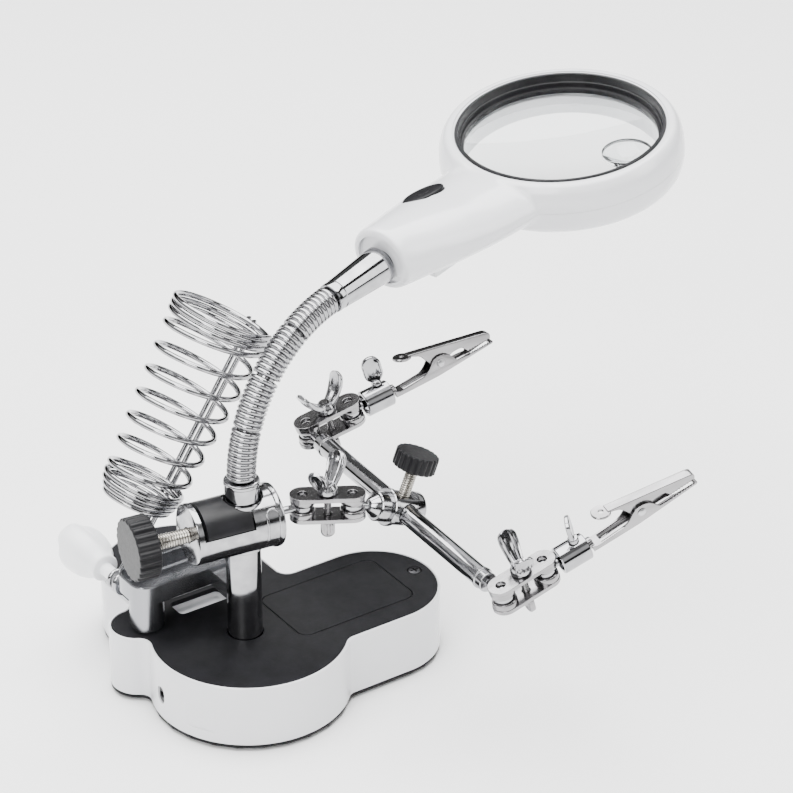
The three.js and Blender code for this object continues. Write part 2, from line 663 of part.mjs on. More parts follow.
// ---- gooseneck ----------------------------------------------------------------------------------
class NeckArc extends THREE.Curve {
  constructor(a0, a1) {
    super();
    this.a0 = a0;
    this.a1 = a1;
  }

  getPoint(t) {
    const a = rad(this.a0 + (this.a1 - this.a0) * t);
    return new THREE.Vector3(NECK.bend * (1 - Math.cos(a)), 0, POST_TOP + NECK.bend * Math.sin(a));
  }
}

function buildNeck() {
  const at = frame(stand, new THREE.Vector3(), NECK.yaw);
  const step = NECK.sweep / NECK.pieces;
  const trim = THREE.MathUtils.radToDeg(NECK.gap / 2 / NECK.bend);
  for (let i = 0; i < NECK.pieces; i += 1) {
    const piece = new NeckArc(i * step + trim, (i + 1) * step - trim);
    add(at, "gooseneck_" + (i + 1), wire(piece, NECK.r, 16, 4), chrome);
  }
  const end = new NeckArc(0, NECK.sweep).getPoint(1);
  const tilt = 90 - NECK.sweep;
  const ferruleFrame = frame(at, end, 0, tilt);
  const ferrule = join(
    rodX(7.1, NECK.gap / 2, 6, 24),
    rodX(7.3, 5, 34.8, 24, 9.1),
    rodX(6, 34, 48, 20),
  );
  add(ferruleFrame, "neck_ferrule", ferrule, chrome);
}

// ---- magnifier head -----------------------------------------------------------------------------
function handleStations(shrink) {
  const outline = [
    [-131, 16.2, 14.4, -5.6], [-128, 17.4, 15.2, -5.8], [-116, 20, 15, -7], [-104, 22.8, 14.6, -8.2],
    [-90, 25.2, 14, -9.6], [-74, 27, 13.2, -11.2], [-45, 29, 12.2, -13],
  ];
  return outline.map(([x, a, b, z], i) => [i ? x : x + shrink, a - shrink, b - shrink, z]);
}

function buildHead() {
  const centre = heading(NECK.yaw).multiplyScalar(HEAD.reach).setZ(HEAD.z);
  const at = frame(stand, centre, NECK.yaw, 90 - NECK.sweep);
  const part = -13;
  const inner = HEAD.bezel + GAP;
  const skin = 2;
  const { shell, height } = HEAD;
  const above = block(-200, 100, -100, 100, part + GAP / 2, 60);
  const below = block(-200, 100, -100, 100, -60, part - GAP / 2);
  const socketHole = rodX(6.5, -140, -120, 24).translate(0, 0, -8);

  const ringOuter = turned([
    [inner, 0], [shell - 4.3, -0.4], [shell - 1.6, -4], [shell - 0.3, -9], [shell, -14],
    [shell - 0.8, -20], [shell - 3, -24.6], [shell - 6, -height], [HEAD.lens + 0.4, -height],
    [HEAD.lens + 0.4, -height + skin], [inner, -12.2],
  ], 24);
  const ringHollow = turned([
    [inner + 2, -2.2], [shell - 5.6, -2.4], [shell - 3.4, -5], [shell - 2.2, -9], [shell - 2, -14],
    [shell - 2.8, -20], [shell - 5, -height + skin], [HEAD.lens + 2.6, -height + skin],
    [inner + 2, -13],
  ], 24);
  const handle = loft(handleStations(0), 14);
  const handleHollow = loft(handleStations(2.2), 12);
  const core = rod(inner, -60, 60, 28);
  const hollow = cut(handleHollow, rod(inner + 2, -60, 60, 28));
  const body = cut(join(ringOuter, cut(handle, core)), ringHollow, hollow, socketHole);

  // The button is an oval that lies square to the handle's curved side, turned off the handle's axis.
  const buttonAt = new THREE.Vector3(-86, 12.4, 2.2);
  const buttonRoll = -14;
  const oval = (a, b, z0, z1) => rod(1, z0, z1, 24).scale(a, b, 1).rotateZ(rad(-15));
  const opening = oval(11.4, 6.2, -8, 20).rotateX(rad(buttonRoll));
  const upper = cut(keep(body, above), opening.translate(...buttonAt));
  const tab = prism(polygon([[-104, -8], [-104, 5], [-90, 6], [-76, 4], [-80, -8]]), -27.6, -22.8);
  add(at, "head_upper_shell", upper, white);
  add(at, "head_lower_shell", join(keep(body, below), tab), white);
  const buttonFrame = frame(at, buttonAt, 0, 0, buttonRoll);
  add(buttonFrame, "switch_button", oval(11, 5.8, -3.2, 0.6), black);

  const bezel = turned([
    [HEAD.bezel - 1.4, 0], [HEAD.bezel, -0.5], [HEAD.bezel, -9.6], [HEAD.lens - 0.6, -9.6],
    [HEAD.lens - 0.6, -7.2], [HEAD.lens + 0.9, -6.8],
  ], 24);
  add(at, "lens_bezel", bezel, black);
  const glassR = HEAD.lens + 1.6;
  const smallAt = new THREE.Vector3(13, -30, 0);
  const lens = turned([
    [0, -10.2], [16, -10.3], [32, -10.6], [glassR, -11.2], [glassR, -13.2], [32, -15],
    [16, -16.2], [0, -16.6],
  ], 24);
  const pocket = rod(12.3, -40, -12.5, 20).translate(smallAt.x, smallAt.y, 0);
  add(at, "main_lens", cut(lens, pocket), glass);
  const small = turned([[0, -12.8], [12, -12.8], [12, -15.6], [7, -18], [0, -19]], 20);
  add(frame(at, smallAt), "small_lens", small, glass);
  const board = cut(
    rod(shell - 5.6, -height + 2.3, -height + 3.6, 28),
    rod(HEAD.lens + 3.8, -height, 0, 28),
  );
  add(at, "led_board", board, white);
}

buildBase();
buildTray();
buildHolder();
const ball1 = buildColumnClamp();
const clamp1 = frame(stand, ball1, -31.1);
buildBallClamp("arm_clamp", clamp1, 62, 0);
stand.updateMatrixWorld(true);
const tips = buildBarClamp(clamp1.localToWorld(new THREE.Vector3(CLAMP.span, 0, 0)));
const clampFar = frame(stand, tips.far, -8.2, 14.5);
const clampNear = frame(stand, tips.near, -1.6, 15);
buildBallClamp("far_clamp", clampFar, 15, 90);
buildBallClamp("near_clamp", clampNear, 76, 90);
buildClip("far_clip", clampFar, [2, -1.6, -8.1], -12);
buildClip("near_clip", clampNear, [-7.8, 5.6, 6.5], 64);
buildNeck();
buildHead();

export default stand;
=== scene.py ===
"""Looks for the soldering helping-hands stand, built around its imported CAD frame."""

import json
import math

import bmesh
import bpy
from mathutils import Matrix, Vector


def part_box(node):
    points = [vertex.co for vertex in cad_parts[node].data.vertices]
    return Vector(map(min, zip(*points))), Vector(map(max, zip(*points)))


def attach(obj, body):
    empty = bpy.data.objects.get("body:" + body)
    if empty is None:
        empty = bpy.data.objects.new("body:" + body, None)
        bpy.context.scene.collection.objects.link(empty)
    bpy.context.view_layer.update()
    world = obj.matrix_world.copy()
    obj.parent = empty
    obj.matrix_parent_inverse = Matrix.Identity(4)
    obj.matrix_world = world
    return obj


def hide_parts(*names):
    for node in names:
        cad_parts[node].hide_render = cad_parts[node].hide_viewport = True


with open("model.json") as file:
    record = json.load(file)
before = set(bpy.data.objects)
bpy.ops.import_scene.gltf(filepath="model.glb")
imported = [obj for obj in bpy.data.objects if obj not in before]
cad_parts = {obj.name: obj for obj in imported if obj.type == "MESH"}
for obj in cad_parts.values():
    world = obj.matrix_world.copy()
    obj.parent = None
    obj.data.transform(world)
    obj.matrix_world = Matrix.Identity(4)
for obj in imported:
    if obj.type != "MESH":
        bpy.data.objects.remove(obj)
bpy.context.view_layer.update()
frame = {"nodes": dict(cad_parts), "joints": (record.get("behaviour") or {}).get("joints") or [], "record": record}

MM = 0.001
TAU = 2 * math.pi
NODE_BODY = {n: b for b, ns in frame["record"]["behaviour"]["bodies"].items() for n in ns}
JOINTS = {j["name"]: j for j in frame["joints"]}

# ---- sizes shared with the CAD model, in millimetres ----
GAP = 0.3
FOOT_H = 1.6
BASE_H = 34
PLATE_T = 2.4
WALL = 2
RIM = 1.5
NEAR = (0.9, -2.2, 45.3)
ARM = (70.2, -1.7, 30.1)
FAR = (3.6, 66.6, 35.1)
LEFT = (-38.3, 33.1, 11.9)
FILLET = 7
DOOR = (19, 82, -20, 19, 5)
SLOT = (-17.6, 8.7, 27.9, 39.1, 2.5)
SLOT_DEPTH = 5
SCREW_AT = (93.6, -1.8)
JACK_ANGLE = 176.6
PANEL_ANGLE = 208.5
JACK_Z = 15.5
POST_R = 8.1
POST_TOP = 115.5
TRAY = (-43.2, 14.4, 21, 45.5, 8.1)
TRAY_Z = (49.3, 59.2)
TRAY_WALL = 1.6
BALL_R = 4.8
NECK_R = 1.8
PLATE_GAP = 4.5
SPAN = 22.8
CLAMP_R = 6.1
CLAMP_T = 2
SCREW_R = 3.6
SCREW_HOLE = SCREW_R + GAP
BAR_R = 4.7
PIVOT = (26.7, 1.9)
CLIP_HALF = 3.5
CLIP_STRETCH = 1.07
SMALL_LENS_AT = (13, -30)
LAMPS = 12
LAMP_RING_R = 52.35
HEAD_CLIMB = 7.5
HOLDER_LEAN = 55.9


# ---- mesh tools, all in millimetres ----
def mesh_object(name, verts, faces):
    mesh = bpy.data.meshes.new(name)
    mesh.from_pydata([tuple(v) for v in verts], [], faces)
    obj = bpy.data.objects.new(name, mesh)
    bpy.context.scene.collection.objects.link(obj)
    clean(obj)
    return obj


def clean(obj):
    """Welds doubled points and turns the faces out."""
    bm = bmesh.new()
    bm.from_mesh(obj.data)
    bmesh.ops.remove_doubles(bm, verts=bm.verts, dist=1e-4)
    bmesh.ops.dissolve_degenerate(bm, edges=bm.edges, dist=1e-5)
    bmesh.ops.recalc_face_normals(bm, faces=bm.faces)
    bm.to_mesh(obj.data)
    bm.free()


def skin(name, rings, loop=False, cap=True):
    """Quads between rings of equal count; loop joins the last ring to the first."""
    n = len(rings[0])
    verts = [p for ring in rings for p in ring]
    faces = []
    for k in range(len(rings) if loop else len(rings) - 1):
        a, b = k * n, (k + 1) % len(rings) * n
        faces += [(a + i, a + (i + 1) % n, b + (i + 1) % n, b + i) for i in range(n)]
    if cap and not loop:
        last = (len(rings) - 1) * n
        faces += [tuple(range(n)), tuple(range(last, last + n))]
    return mesh_object(name, verts, faces)


def circle(r, steps=48, cx=0.0, cy=0.0):
    angles = [TAU * i / steps for i in range(steps)]
    return [(cx + r * math.cos(a), cy + r * math.sin(a)) for a in angles]


def arc(cx, cy, r, a0, a1, steps):
    angles = [a0 + (a1 - a0) * i / steps for i in range(steps + 1)]
    return [(cx + r * math.cos(a), cy + r * math.sin(a)) for a in angles]


def rounded(x0, x1, y0, y1, r, steps=8):
    corners = ((x1 - r, y0 + r, -1), (x1 - r, y1 - r, 0), (x0 + r, y1 - r, 1), (x0 + r, y0 + r, 2))
    points = []
    for cx, cy, quarter in corners:
        points += arc(cx, cy, r, quarter * TAU / 4, (quarter + 1) * TAU / 4, steps)
    return points


def stadium(r, span, steps=16):
    return arc(span, 0, r, -TAU / 4, TAU / 4, steps) + arc(0, 0, r, TAU / 4, 3 * TAU / 4, steps)


def turned(name, profile, steps=64):
    """A body turned about Z from [radius, height] points; radius 0 closes it."""
    rings = [[(x, y, z) for x, y in circle(max(r, 1e-6), steps)] for r, z in profile]
    return skin(name, rings, cap=profile[0] != profile[-1])


def ring_body(name, profile, steps=64):
    """A ring turned about Z from a profile that closes on itself."""
    return skin(name, [[(x, y, z) for x, y in circle(r, steps)] for r, z in profile], loop=True)


def prism(name, loops, z0, z1):
    """A flat plate with holes: the first loop is its outline, the rest are holes."""
    bm = bmesh.new()
    edges = []
    for loop in loops:
        verts = [bm.verts.new((x, y, z0)) for x, y in loop]
        edges += [bm.edges.new((verts[i - 1], verts[i])) for i in range(len(verts))]
    if len(loops) == 1:
        bm.faces.new(bm.verts)
    else:
        bmesh.ops.triangle_fill(bm, edges=edges, use_beauty=True, use_dissolve=False)
    grown = bmesh.ops.extrude_face_region(bm, geom=bm.faces[:])
    up = [v for v in grown["geom"] if isinstance(v, bmesh.types.BMVert)]
    bmesh.ops.translate(bm, verts=up, vec=(0, 0, z1 - z0))
    bmesh.ops.recalc_face_normals(bm, faces=bm.faces)
    mesh = bpy.data.meshes.new(name)
    bm.to_mesh(mesh)
    bm.free()
    obj = bpy.data.objects.new(name, mesh)
    bpy.context.scene.collection.objects.link(obj)
    return obj


def tube(name, points, radius, sides=12, closed=False):
    """A round bar along points; radius is one number, or one for each point."""
    points = [Vector(p) for p in points]
    radii = radius if isinstance(radius, list) else [radius] * len(points)
    rings = []
    normal = None
    for i, p in enumerate(points):
        before = points[i - 1] if i or closed else p
        after = points[(i + 1) % len(points)] if i + 1 < len(points) or closed else p
        tangent = (after - before).normalized()
        if normal is None:
            normal = tangent.orthogonal()
        normal = (normal - tangent * normal.dot(tangent)).normalized()
        side = tangent.cross(normal)
        turns = [TAU * k / sides for k in range(sides)]
        rings.append([p + radii[i] * (math.cos(t) * normal + math.sin(t) * side) for t in turns])
    return skin(name, rings, loop=closed)


def move(obj, matrix):
    obj.data.transform(matrix)
    return obj


def shift(obj, x=0.0, y=0.0, z=0.0):
    return move(obj, Matrix.Translation((x, y, z)))


def spin(obj, degrees, axis):
    return move(obj, Matrix.Rotation(math.radians(degrees), 4, axis))


def along_x(obj):
    """Turns a piece made along Z to lie along X."""
    return spin(obj, 90, "Y")


def along_y(obj):
    return spin(obj, -90, "X")


def bake(obj):
    graph = bpy.context.evaluated_depsgraph_get()
    mesh = bpy.data.meshes.new_from_object(obj.evaluated_get(graph))
    obj.modifiers.clear()
    obj.data = mesh
    return obj


def boolean(obj, tools, operation):
    for tool in tools:
        modifier = obj.modifiers.new("boolean", "BOOLEAN")
        modifier.object = tool
        modifier.operation = operation
        modifier.solver = "EXACT"
    bake(obj)
    for tool in tools:
        bpy.data.objects.remove(tool)
    return obj


def cut(obj, *tools):
    return boolean(obj, tools, "DIFFERENCE")


def join(obj, *others):
    return boolean(obj, others, "UNION")


def gather(obj, *others):
    """Puts several bodies in one piece without joining their surfaces."""
    bm = bmesh.new()
    for part in (obj, *others):
        bm.from_mesh(part.data)
    bm.to_mesh(obj.data)
    bm.free()
    for part in others:
        bpy.data.objects.remove(part)
    return obj


def block(x0, x1, y0, y1, z0, z1):
    return prism("block", [[(x0, y0), (x1, y0), (x1, y1), (x0, y1)]], z0, z1)


def rod(r, z0, z1, steps=32):
    return prism("rod", [circle(r, steps)], z0, z1)


def threaded(name, r, z0, z1, pitch, depth=0.35, steps=28):
    """A screw thread along Z, with its ends drawn in."""
    count = int((z1 - z0) / pitch * 6)
    rings = []
    for k in range(count + 1):
        z = z0 + (z1 - z0) * k / count
        ease = min(1.0, k / 3, (count - k) / 3)
        ring = []
        for i in range(steps):
            a = TAU * i / steps
            phase = (z / pitch - i / steps) % 1.0
            crest = 1 - abs(2 * phase - 1)
            radius = r - depth + depth * crest * ease
            ring.append((radius * math.cos(a), radius * math.sin(a), z))
        rings.append(ring)
    return skin(name, rings)


def fluted(name, r, z0, z1, flutes, depth, edge=1.0, dish=0.5):
    """A round grip with scooped flutes, rounded rims and a slightly sunk face at each end."""
    steps = flutes * 14

    def ring(radius, z, bite):
        points = []
        for i in range(steps):
            a = TAU * i / steps
            wave = abs(math.cos(flutes * a / 2)) ** 3
            rr = radius - bite * depth * wave
            points.append((rr * math.cos(a), rr * math.sin(a), z))
        return points

    rings = [ring(r * 0.02, z0 + dish, 0), ring(r - 3.2 * edge, z0 + dish, 0)]
    rings += [ring(r - 2.6 * edge, z0, 0), ring(r - 1.3 * edge, z0, 0.2)]
    for k in range(5):
        t = k / 4 * TAU / 4
        inset = edge * (1 - math.sin(t))
        rings.append(ring(r - inset, z0 + edge * (1 - math.cos(t)), 0.4 + 0.6 * math.sin(t)))
    for k in range(5):
        t = k / 4 * TAU / 4
        inset = edge * (1 - math.cos(t))
        rings.append(ring(r - inset, z1 - edge * (1 - math.sin(t)), 0.4 + 0.6 * math.cos(t)))
    rings += [ring(r - 1.3 * edge, z1, 0.2), ring(r - 2.6 * edge, z1, 0)]
    rings += [ring(r - 3.2 * edge, z1 - dish, 0), ring(r * 0.02, z1 - dish, 0)]
    return skin(name, rings)


def unit(vector):
    return Vector(vector).normalized()


def axes(origin, x=None, z=None):
    """A frame in millimetres at origin, from its X direction, its Z direction, or both."""
    if x is None:
        z = unit(z)
        x = z.orthogonal()
    x = unit(x)
    z = unit(z) if z is not None else x.orthogonal()
    y = z.cross(x).normalized()
    z = x.cross(y)
    m = Matrix((x, y, z)).transposed().to_4x4()
    m.translation = Vector(origin)
    return m


def at(joint):
    """A hinge's place in millimetres."""
    return Vector(JOINTS[joint]["pos_m"]) / MM


def along(joint):
    return unit(JOINTS[joint]["axis"])


def put(obj, name, node, look, place=None, bevel=0.0, angle=32):
    """Sets a piece at its place, in metres, with its look, riding on the node's body."""
    if place is not None:
        move(obj, place)
    move(obj, Matrix.Scale(MM, 4))
    obj.name = name
    obj.data.materials.clear()
    obj.data.materials.append(look)
    obj.data.shade_smooth()
    obj.data.set_sharp_from_angle(angle=math.radians(angle))
    if bevel:
        soften(obj, bevel * MM, angle)
    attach(obj, NODE_BODY[node])


def finish(obj, node, look, place=None, bevel=0.25, angle=32):
    """Puts a piece in place of its CAD node."""
    put(obj, "look_" + node, node, look, place, bevel, angle)
    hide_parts(node)


def soften(obj, width, angle=32):
    """Bevels the edges sharper than angle; width is in the object's own units."""
    modifier = obj.modifiers.new("edges", "BEVEL")
    modifier.width = width
    modifier.segments = 2
    modifier.limit_method = "ANGLE"
    modifier.angle_limit = math.radians(angle)
    modifier.harden_normals = True
    modifier.use_clamp_overlap = True


def dress(node, look, bevel=0.2):
    """Gives a CAD node that stays in view its material and soft edges."""
    obj = frame["nodes"][node]
    obj.data.materials.clear()
    obj.data.materials.append(look)
    if bevel:
        soften(obj, bevel * MM)


# ---- materials ----
def surface(name, color, rough, metallic=0.0, shade=None, mottle=60, rough_spread=0.04,
            grain=0, grain_depth=0.0, wave=0, wave_depth=0.0, stretch=(1, 1, 1), **sockets):
    """A Principled surface: colour drifts to shade by noise, roughness wanders, and two
    noises raise it, one fine grain and one slow wave. stretch draws the noise into streaks."""
    m = bpy.data.materials.new(name)
    m.use_nodes = True
    nodes, links = m.node_tree.nodes, m.node_tree.links
    bsdf = nodes["Principled BSDF"]
    bsdf.inputs["Metallic"].default_value = metallic
    for key, value in sockets.items():
        bsdf.inputs[key.replace("_", " ")].default_value = value
    where = nodes.new("ShaderNodeTexCoord").outputs["Object"]
    scaled = nodes.new("ShaderNodeMapping")
    scaled.inputs["Scale"].default_value = stretch
    links.new(where, scaled.inputs["Vector"])

    def noise(scale, detail=3.0):
        node = nodes.new("ShaderNodeTexNoise")
        node.inputs["Scale"].default_value = scale
        node.inputs["Detail"].default_value = detail
        links.new(scaled.outputs["Vector"], node.inputs["Vector"])
        return node.outputs["Fac"]

    drift = nodes.new("ShaderNodeMix")
    drift.data_type = "RGBA"
    drift.inputs["A"].default_value = (*color, 1)
    drift.inputs["B"].default_value = (*(shade or tuple(c * 0.9 for c in color)), 1)
    spread = nodes.new("ShaderNodeMapRange")
    spread.inputs["From Min"].default_value = 0.35
    spread.inputs["From Max"].default_value = 0.7
    links.new(noise(mottle), spread.inputs["Value"])
    links.new(spread.outputs["Result"], drift.inputs["Factor"])
    links.new(drift.outputs["Result"], bsdf.inputs["Base Color"])
    wander = nodes.new("ShaderNodeMapRange")
    wander.inputs["To Min"].default_value = max(0.02, rough - rough_spread)
    wander.inputs["To Max"].default_value = rough + rough_spread
    links.new(noise(mottle * 3.7), wander.inputs["Value"])
    links.new(wander.outputs["Result"], bsdf.inputs["Roughness"])
    normal = None
    for scale, depth in ((grain, grain_depth), (wave, wave_depth)):
        if not depth:
            continue
        bump = nodes.new("ShaderNodeBump")
        bump.inputs["Distance"].default_value = depth * MM
        links.new(noise(scale, 2.0), bump.inputs["Height"])
        if normal:
            links.new(normal, bump.inputs["Normal"])
        normal = bump.outputs["Normal"]
    if normal:
        links.new(normal, bsdf.inputs["Normal"])
    return m


shell_white = surface(
    "white_gloss", (0.73, 0.735, 0.755), 0.2, shade=(0.7, 0.705, 0.725), mottle=18, rough_spread=0.05,
    grain=2600, grain_depth=0.01, wave=90, wave_depth=0.03, Coat_Weight=0.35, Coat_Roughness=0.08,
)
knob_white = surface(
    "white_translucent", (0.88, 0.89, 0.9), 0.32, shade=(0.82, 0.83, 0.85), mottle=40,
    grain=1500, grain_depth=0.02, Subsurface_Weight=0.35, Subsurface_Radius=(0.006, 0.006, 0.006),
    Subsurface_Scale=1.0, Coat_Weight=0.1,
)
plate_black = surface(
    "black_grained", (0.005, 0.005, 0.006), 0.5, shade=(0.008, 0.008, 0.01), mottle=140,
    rough_spread=0.06, grain=2400, grain_depth=0.06, wave=500, wave_depth=0.02,
    Specular_IOR_Level=0.16,
)
knob_black = surface(
    "black_moulded", (0.004, 0.004, 0.005), 0.4, shade=(0.007, 0.007, 0.008), mottle=160,
    rough_spread=0.07, grain=2200, grain_depth=0.04, Specular_IOR_Level=0.22,
)
bezel_black = surface(
    "black_satin", (0.006, 0.006, 0.007), 0.34, shade=(0.01, 0.01, 0.012), mottle=120,
    grain=2600, grain_depth=0.02, Specular_IOR_Level=0.3,
)
rubber = surface(
    "black_rubber", (0.02, 0.02, 0.02), 0.8, mottle=200, grain=1800, grain_depth=0.08,
)
chrome = surface(
    "bright_plate", (0.38, 0.38, 0.39), 0.08, 1.0, shade=(0.3, 0.3, 0.31), mottle=150,
    rough_spread=0.05, wave=120, wave_depth=0.03,
)
cast_chrome = surface(
    "plated_casting", (0.4, 0.4, 0.41), 0.14, 1.0, shade=(0.3, 0.3, 0.31), mottle=220,
    rough_spread=0.05, grain=900, grain_depth=0.02, wave=120, wave_depth=0.08,
)
brushed = surface(
    "brushed_casting", (0.34, 0.345, 0.36), 0.24, 1.0, shade=(0.27, 0.275, 0.29), mottle=60,
    rough_spread=0.06, grain=700, grain_depth=0.012, wave=60, wave_depth=0.04, stretch=(1, 1, 0.06),
)
pressed = surface(
    "pressed_sheet", (0.31, 0.305, 0.31), 0.17, 1.0, shade=(0.23, 0.225, 0.23), mottle=160,
    rough_spread=0.05, grain=600, grain_depth=0.015, stretch=(0.25, 1, 1),
)
brassy = surface(
    "dull_thread", (0.42, 0.4, 0.36), 0.26, 1.0, shade=(0.26, 0.245, 0.22), mottle=300,
    rough_spread=0.08, grain=1500, grain_depth=0.03,
)
steel = surface(
    "plain_steel", (0.5, 0.5, 0.51), 0.34, 1.0, shade=(0.4, 0.4, 0.41), mottle=200, rough_spread=0.08,
    grain=1500, grain_depth=0.03,
)
dark_steel = surface(
    "blackened_steel", (0.035, 0.035, 0.038), 0.36, 0.8, shade=(0.05, 0.05, 0.053), mottle=300,
    grain=1500, grain_depth=0.02,
)
glass = surface(
    "lens_glass", (0.97, 0.985, 0.985), 0.03, mottle=12, shade=(0.95, 0.97, 0.975), rough_spread=0.01,
    Transmission_Weight=1.0, IOR=1.45,
)
lamp = surface(
    "lamp_dome", (0.93, 0.94, 0.9), 0.12, shade=(0.85, 0.86, 0.8), mottle=300, Coat_Weight=0.5,
    Subsurface_Weight=0.2, Subsurface_Radius=(0.002, 0.002, 0.002),
)
board_white = surface(
    "board_white", (0.75, 0.76, 0.77), 0.4, shade=(0.65, 0.66, 0.67), mottle=300, grain=1500,
    grain_depth=0.02,
)


# ---- base ----
def fillet_centre(a, b):
    """Centre of the fillet circle that touches two lobes from outside."""
    ra, rb = a[2] + FILLET, b[2] + FILLET
    d = math.hypot(b[0] - a[0], b[1] - a[1])
    along_line = (ra * ra - rb * rb + d * d) / (2 * d)
    aside = math.sqrt(ra * ra - along_line * along_line)
    ux, uy = (b[0] - a[0]) / d, (b[1] - a[1]) / d
    return a[0] + ux * along_line - uy * aside, a[1] + uy * along_line + ux * aside


def base_outline(grow, degrees=3.5):
    """The base's outline, grown outwards; every grow gives the same number of points."""
    low_y = ARM[1] - ARM[2] - FILLET
    low = (NEAR[0] + math.sqrt((NEAR[2] + FILLET) ** 2 - (low_y - NEAR[1]) ** 2), low_y)
    far_x = FAR[0] - FAR[2] - FILLET
    left_far = (far_x, LEFT[1] + math.sqrt((LEFT[2] + FILLET) ** 2 - (far_x - LEFT[0]) ** 2))
    corner = (FAR[0] + FAR[2] + FILLET, ARM[1] + ARM[2] + FILLET)
    left_near = fillet_centre(NEAR, LEFT)

    def toward(a, b):
        return math.atan2(b[1] - a[1], b[0] - a[0])

    q = TAU / 4
    arcs = (
        (NEAR, 1, toward(NEAR, left_near), toward(NEAR, low)),
        (low, -1, toward(low, NEAR), q),
        (ARM, 1, -q, q),
        (corner, -1, -q, -2 * q),
        (FAR, 1, 0, 2 * q),
        (left_far, -1, 0, toward(left_far, LEFT)),
        (LEFT, 1, toward(LEFT, left_far), toward(LEFT, left_near)),
        (left_near, -1, toward(left_near, LEFT), toward(left_near, NEAR)),
    )
    points = []
    for centre, way, a0, a1 in arcs:
        sweep = (a1 - a0) % TAU if way > 0 else -((a0 - a1) % TAU)
        radius = centre[2] + grow if way > 0 else FILLET - grow
        steps = max(2, round(abs(math.degrees(sweep)) / degrees))
        points += arc(centre[0], centre[1], radius, a0, a0 + sweep, steps)
    return points


def grown(rect, grow, steps=6):
    x0, x1, y0, y1, r = rect
    return rounded(x0 - grow, x1 + grow, y0 - grow, y1 + grow, r + grow, steps)


def on_wall(obj, degrees, z):
    """Turns a piece that points along X to face out of the near lobe at that angle."""
    spin(obj, degrees, "Z")
    return shift(obj, NEAR[0], NEAR[1], z)


def oval_along_x(a, b, x0, x1):
    piece = prism("oval", [rounded(-b, b, -a, a, a - 0.05, 8)], x0, x1)
    return along_x(piece)


def make_base():
    deck = BASE_H - PLATE_T - GAP
    low = FOOT_H + 1.2
    profile = (
        (RIM - WALL, low), (RIM - 0.6, low), (RIM, low + 0.6), (RIM, BASE_H - 1.3),
        (RIM - 0.12, BASE_H - 0.75), (RIM - 0.4, BASE_H - 0.3), (RIM - 0.75, BASE_H - 0.06),
        (RIM - 1.0, BASE_H), (GAP + 0.1, BASE_H), (GAP, BASE_H - 0.15), (GAP, deck), (-6, deck),
        (-6, deck - WALL), (RIM - WALL, deck - WALL),
    )
    shell = skin("shell", [[(x, y, z) for x, y in base_outline(g)] for g, z in profile], loop=True)
    socket = on_wall(oval_along_x(3, 4.4, 38, 60), JACK_ANGLE, JACK_Z)
    panel = prism("panel", [rounded(-6, 6, -7.5, 7.5, 1.5, 6)], 46.1, 60)
    panel = on_wall(along_x(panel), PANEL_ANGLE, JACK_Z - 1)
    cut(shell, socket, panel)
    floor = BASE_H - SLOT_DEPTH
    pocket_rings = ((0.05, BASE_H - PLATE_T - 0.1), (0, floor + 1.2), (-0.3, floor + 0.4), (-1.0, floor))
    outer = [(WALL, floor - 1.4), (WALL, deck - 0.1)]
    rings = [[(x, y, z) for x, y in grown(SLOT, g)] for g, z in (*outer, *pocket_rings)]
    gather(shell, skin("pocket", rings))
    finish(shell, "base_shell", shell_white, bevel=0.15)

    plate = prism("plate", [base_outline(0)], deck + GAP, BASE_H)
    cut(plate, prism("slot", [grown(SLOT, 0)], 20, 50), prism("bay", [grown(DOOR, GAP)], 20, 50),
        rod(POST_R + GAP, 20, 50, 64), shift(rod(3.4, 20, 50, 32), *SCREW_AT))
    finish(plate, "top_plate", plate_black, bevel=0.35)

    door = prism("door", [grown(DOOR, 0)], deck + GAP, BASE_H)
    finish(door, "battery_door", plate_black, bevel=0.3)

    head = turned("screw", [(0, 26), (1.5, 26), (1.5, BASE_H - 0.9), (3, BASE_H - 0.9), (3, BASE_H - 0.1),
                            (2.3, BASE_H + 0.25), (0, BASE_H + 0.3)], 32)
    low_slot, high_slot = BASE_H - 0.6, BASE_H + 1
    for half_x, half_y in ((1.9, 0.4), (0.4, 1.9)):
        cut(head, block(-half_x, half_x, -half_y, half_y, low_slot, high_slot))
    finish(shift(head, *SCREW_AT), "plate_screw", dark_steel, bevel=0.1)

    jack = cut(oval_along_x(2.6, 4, 39, 46.1), along_x(rod(1.7, 41, 50)))
    pin = along_x(rod(0.5, 40.5, 45.4, 16))
    finish(on_wall(gather(jack, pin), JACK_ANGLE, JACK_Z), "dc_jack", knob_black, bevel=0.2)

    dress("bottom_cover", knob_black)
    dress("ballast_plate", steel)
    for foot in ("column", "front", "right", "back", "left"):
        dress("foot_" + foot, rubber)

    post = turned("post", [
        (0, FOOT_H + 1.4), (POST_R, FOOT_H + 1.4), (POST_R, POST_TOP - 2.4), (POST_R + 0.25, POST_TOP - 2.1),
        (POST_R + 0.3, POST_TOP - 0.9), (POST_R, POST_TOP - 0.25), (POST_R - 0.6, POST_TOP),
        (0, POST_TOP)], 72)
    finish(post, "post", chrome, bevel=0.15)


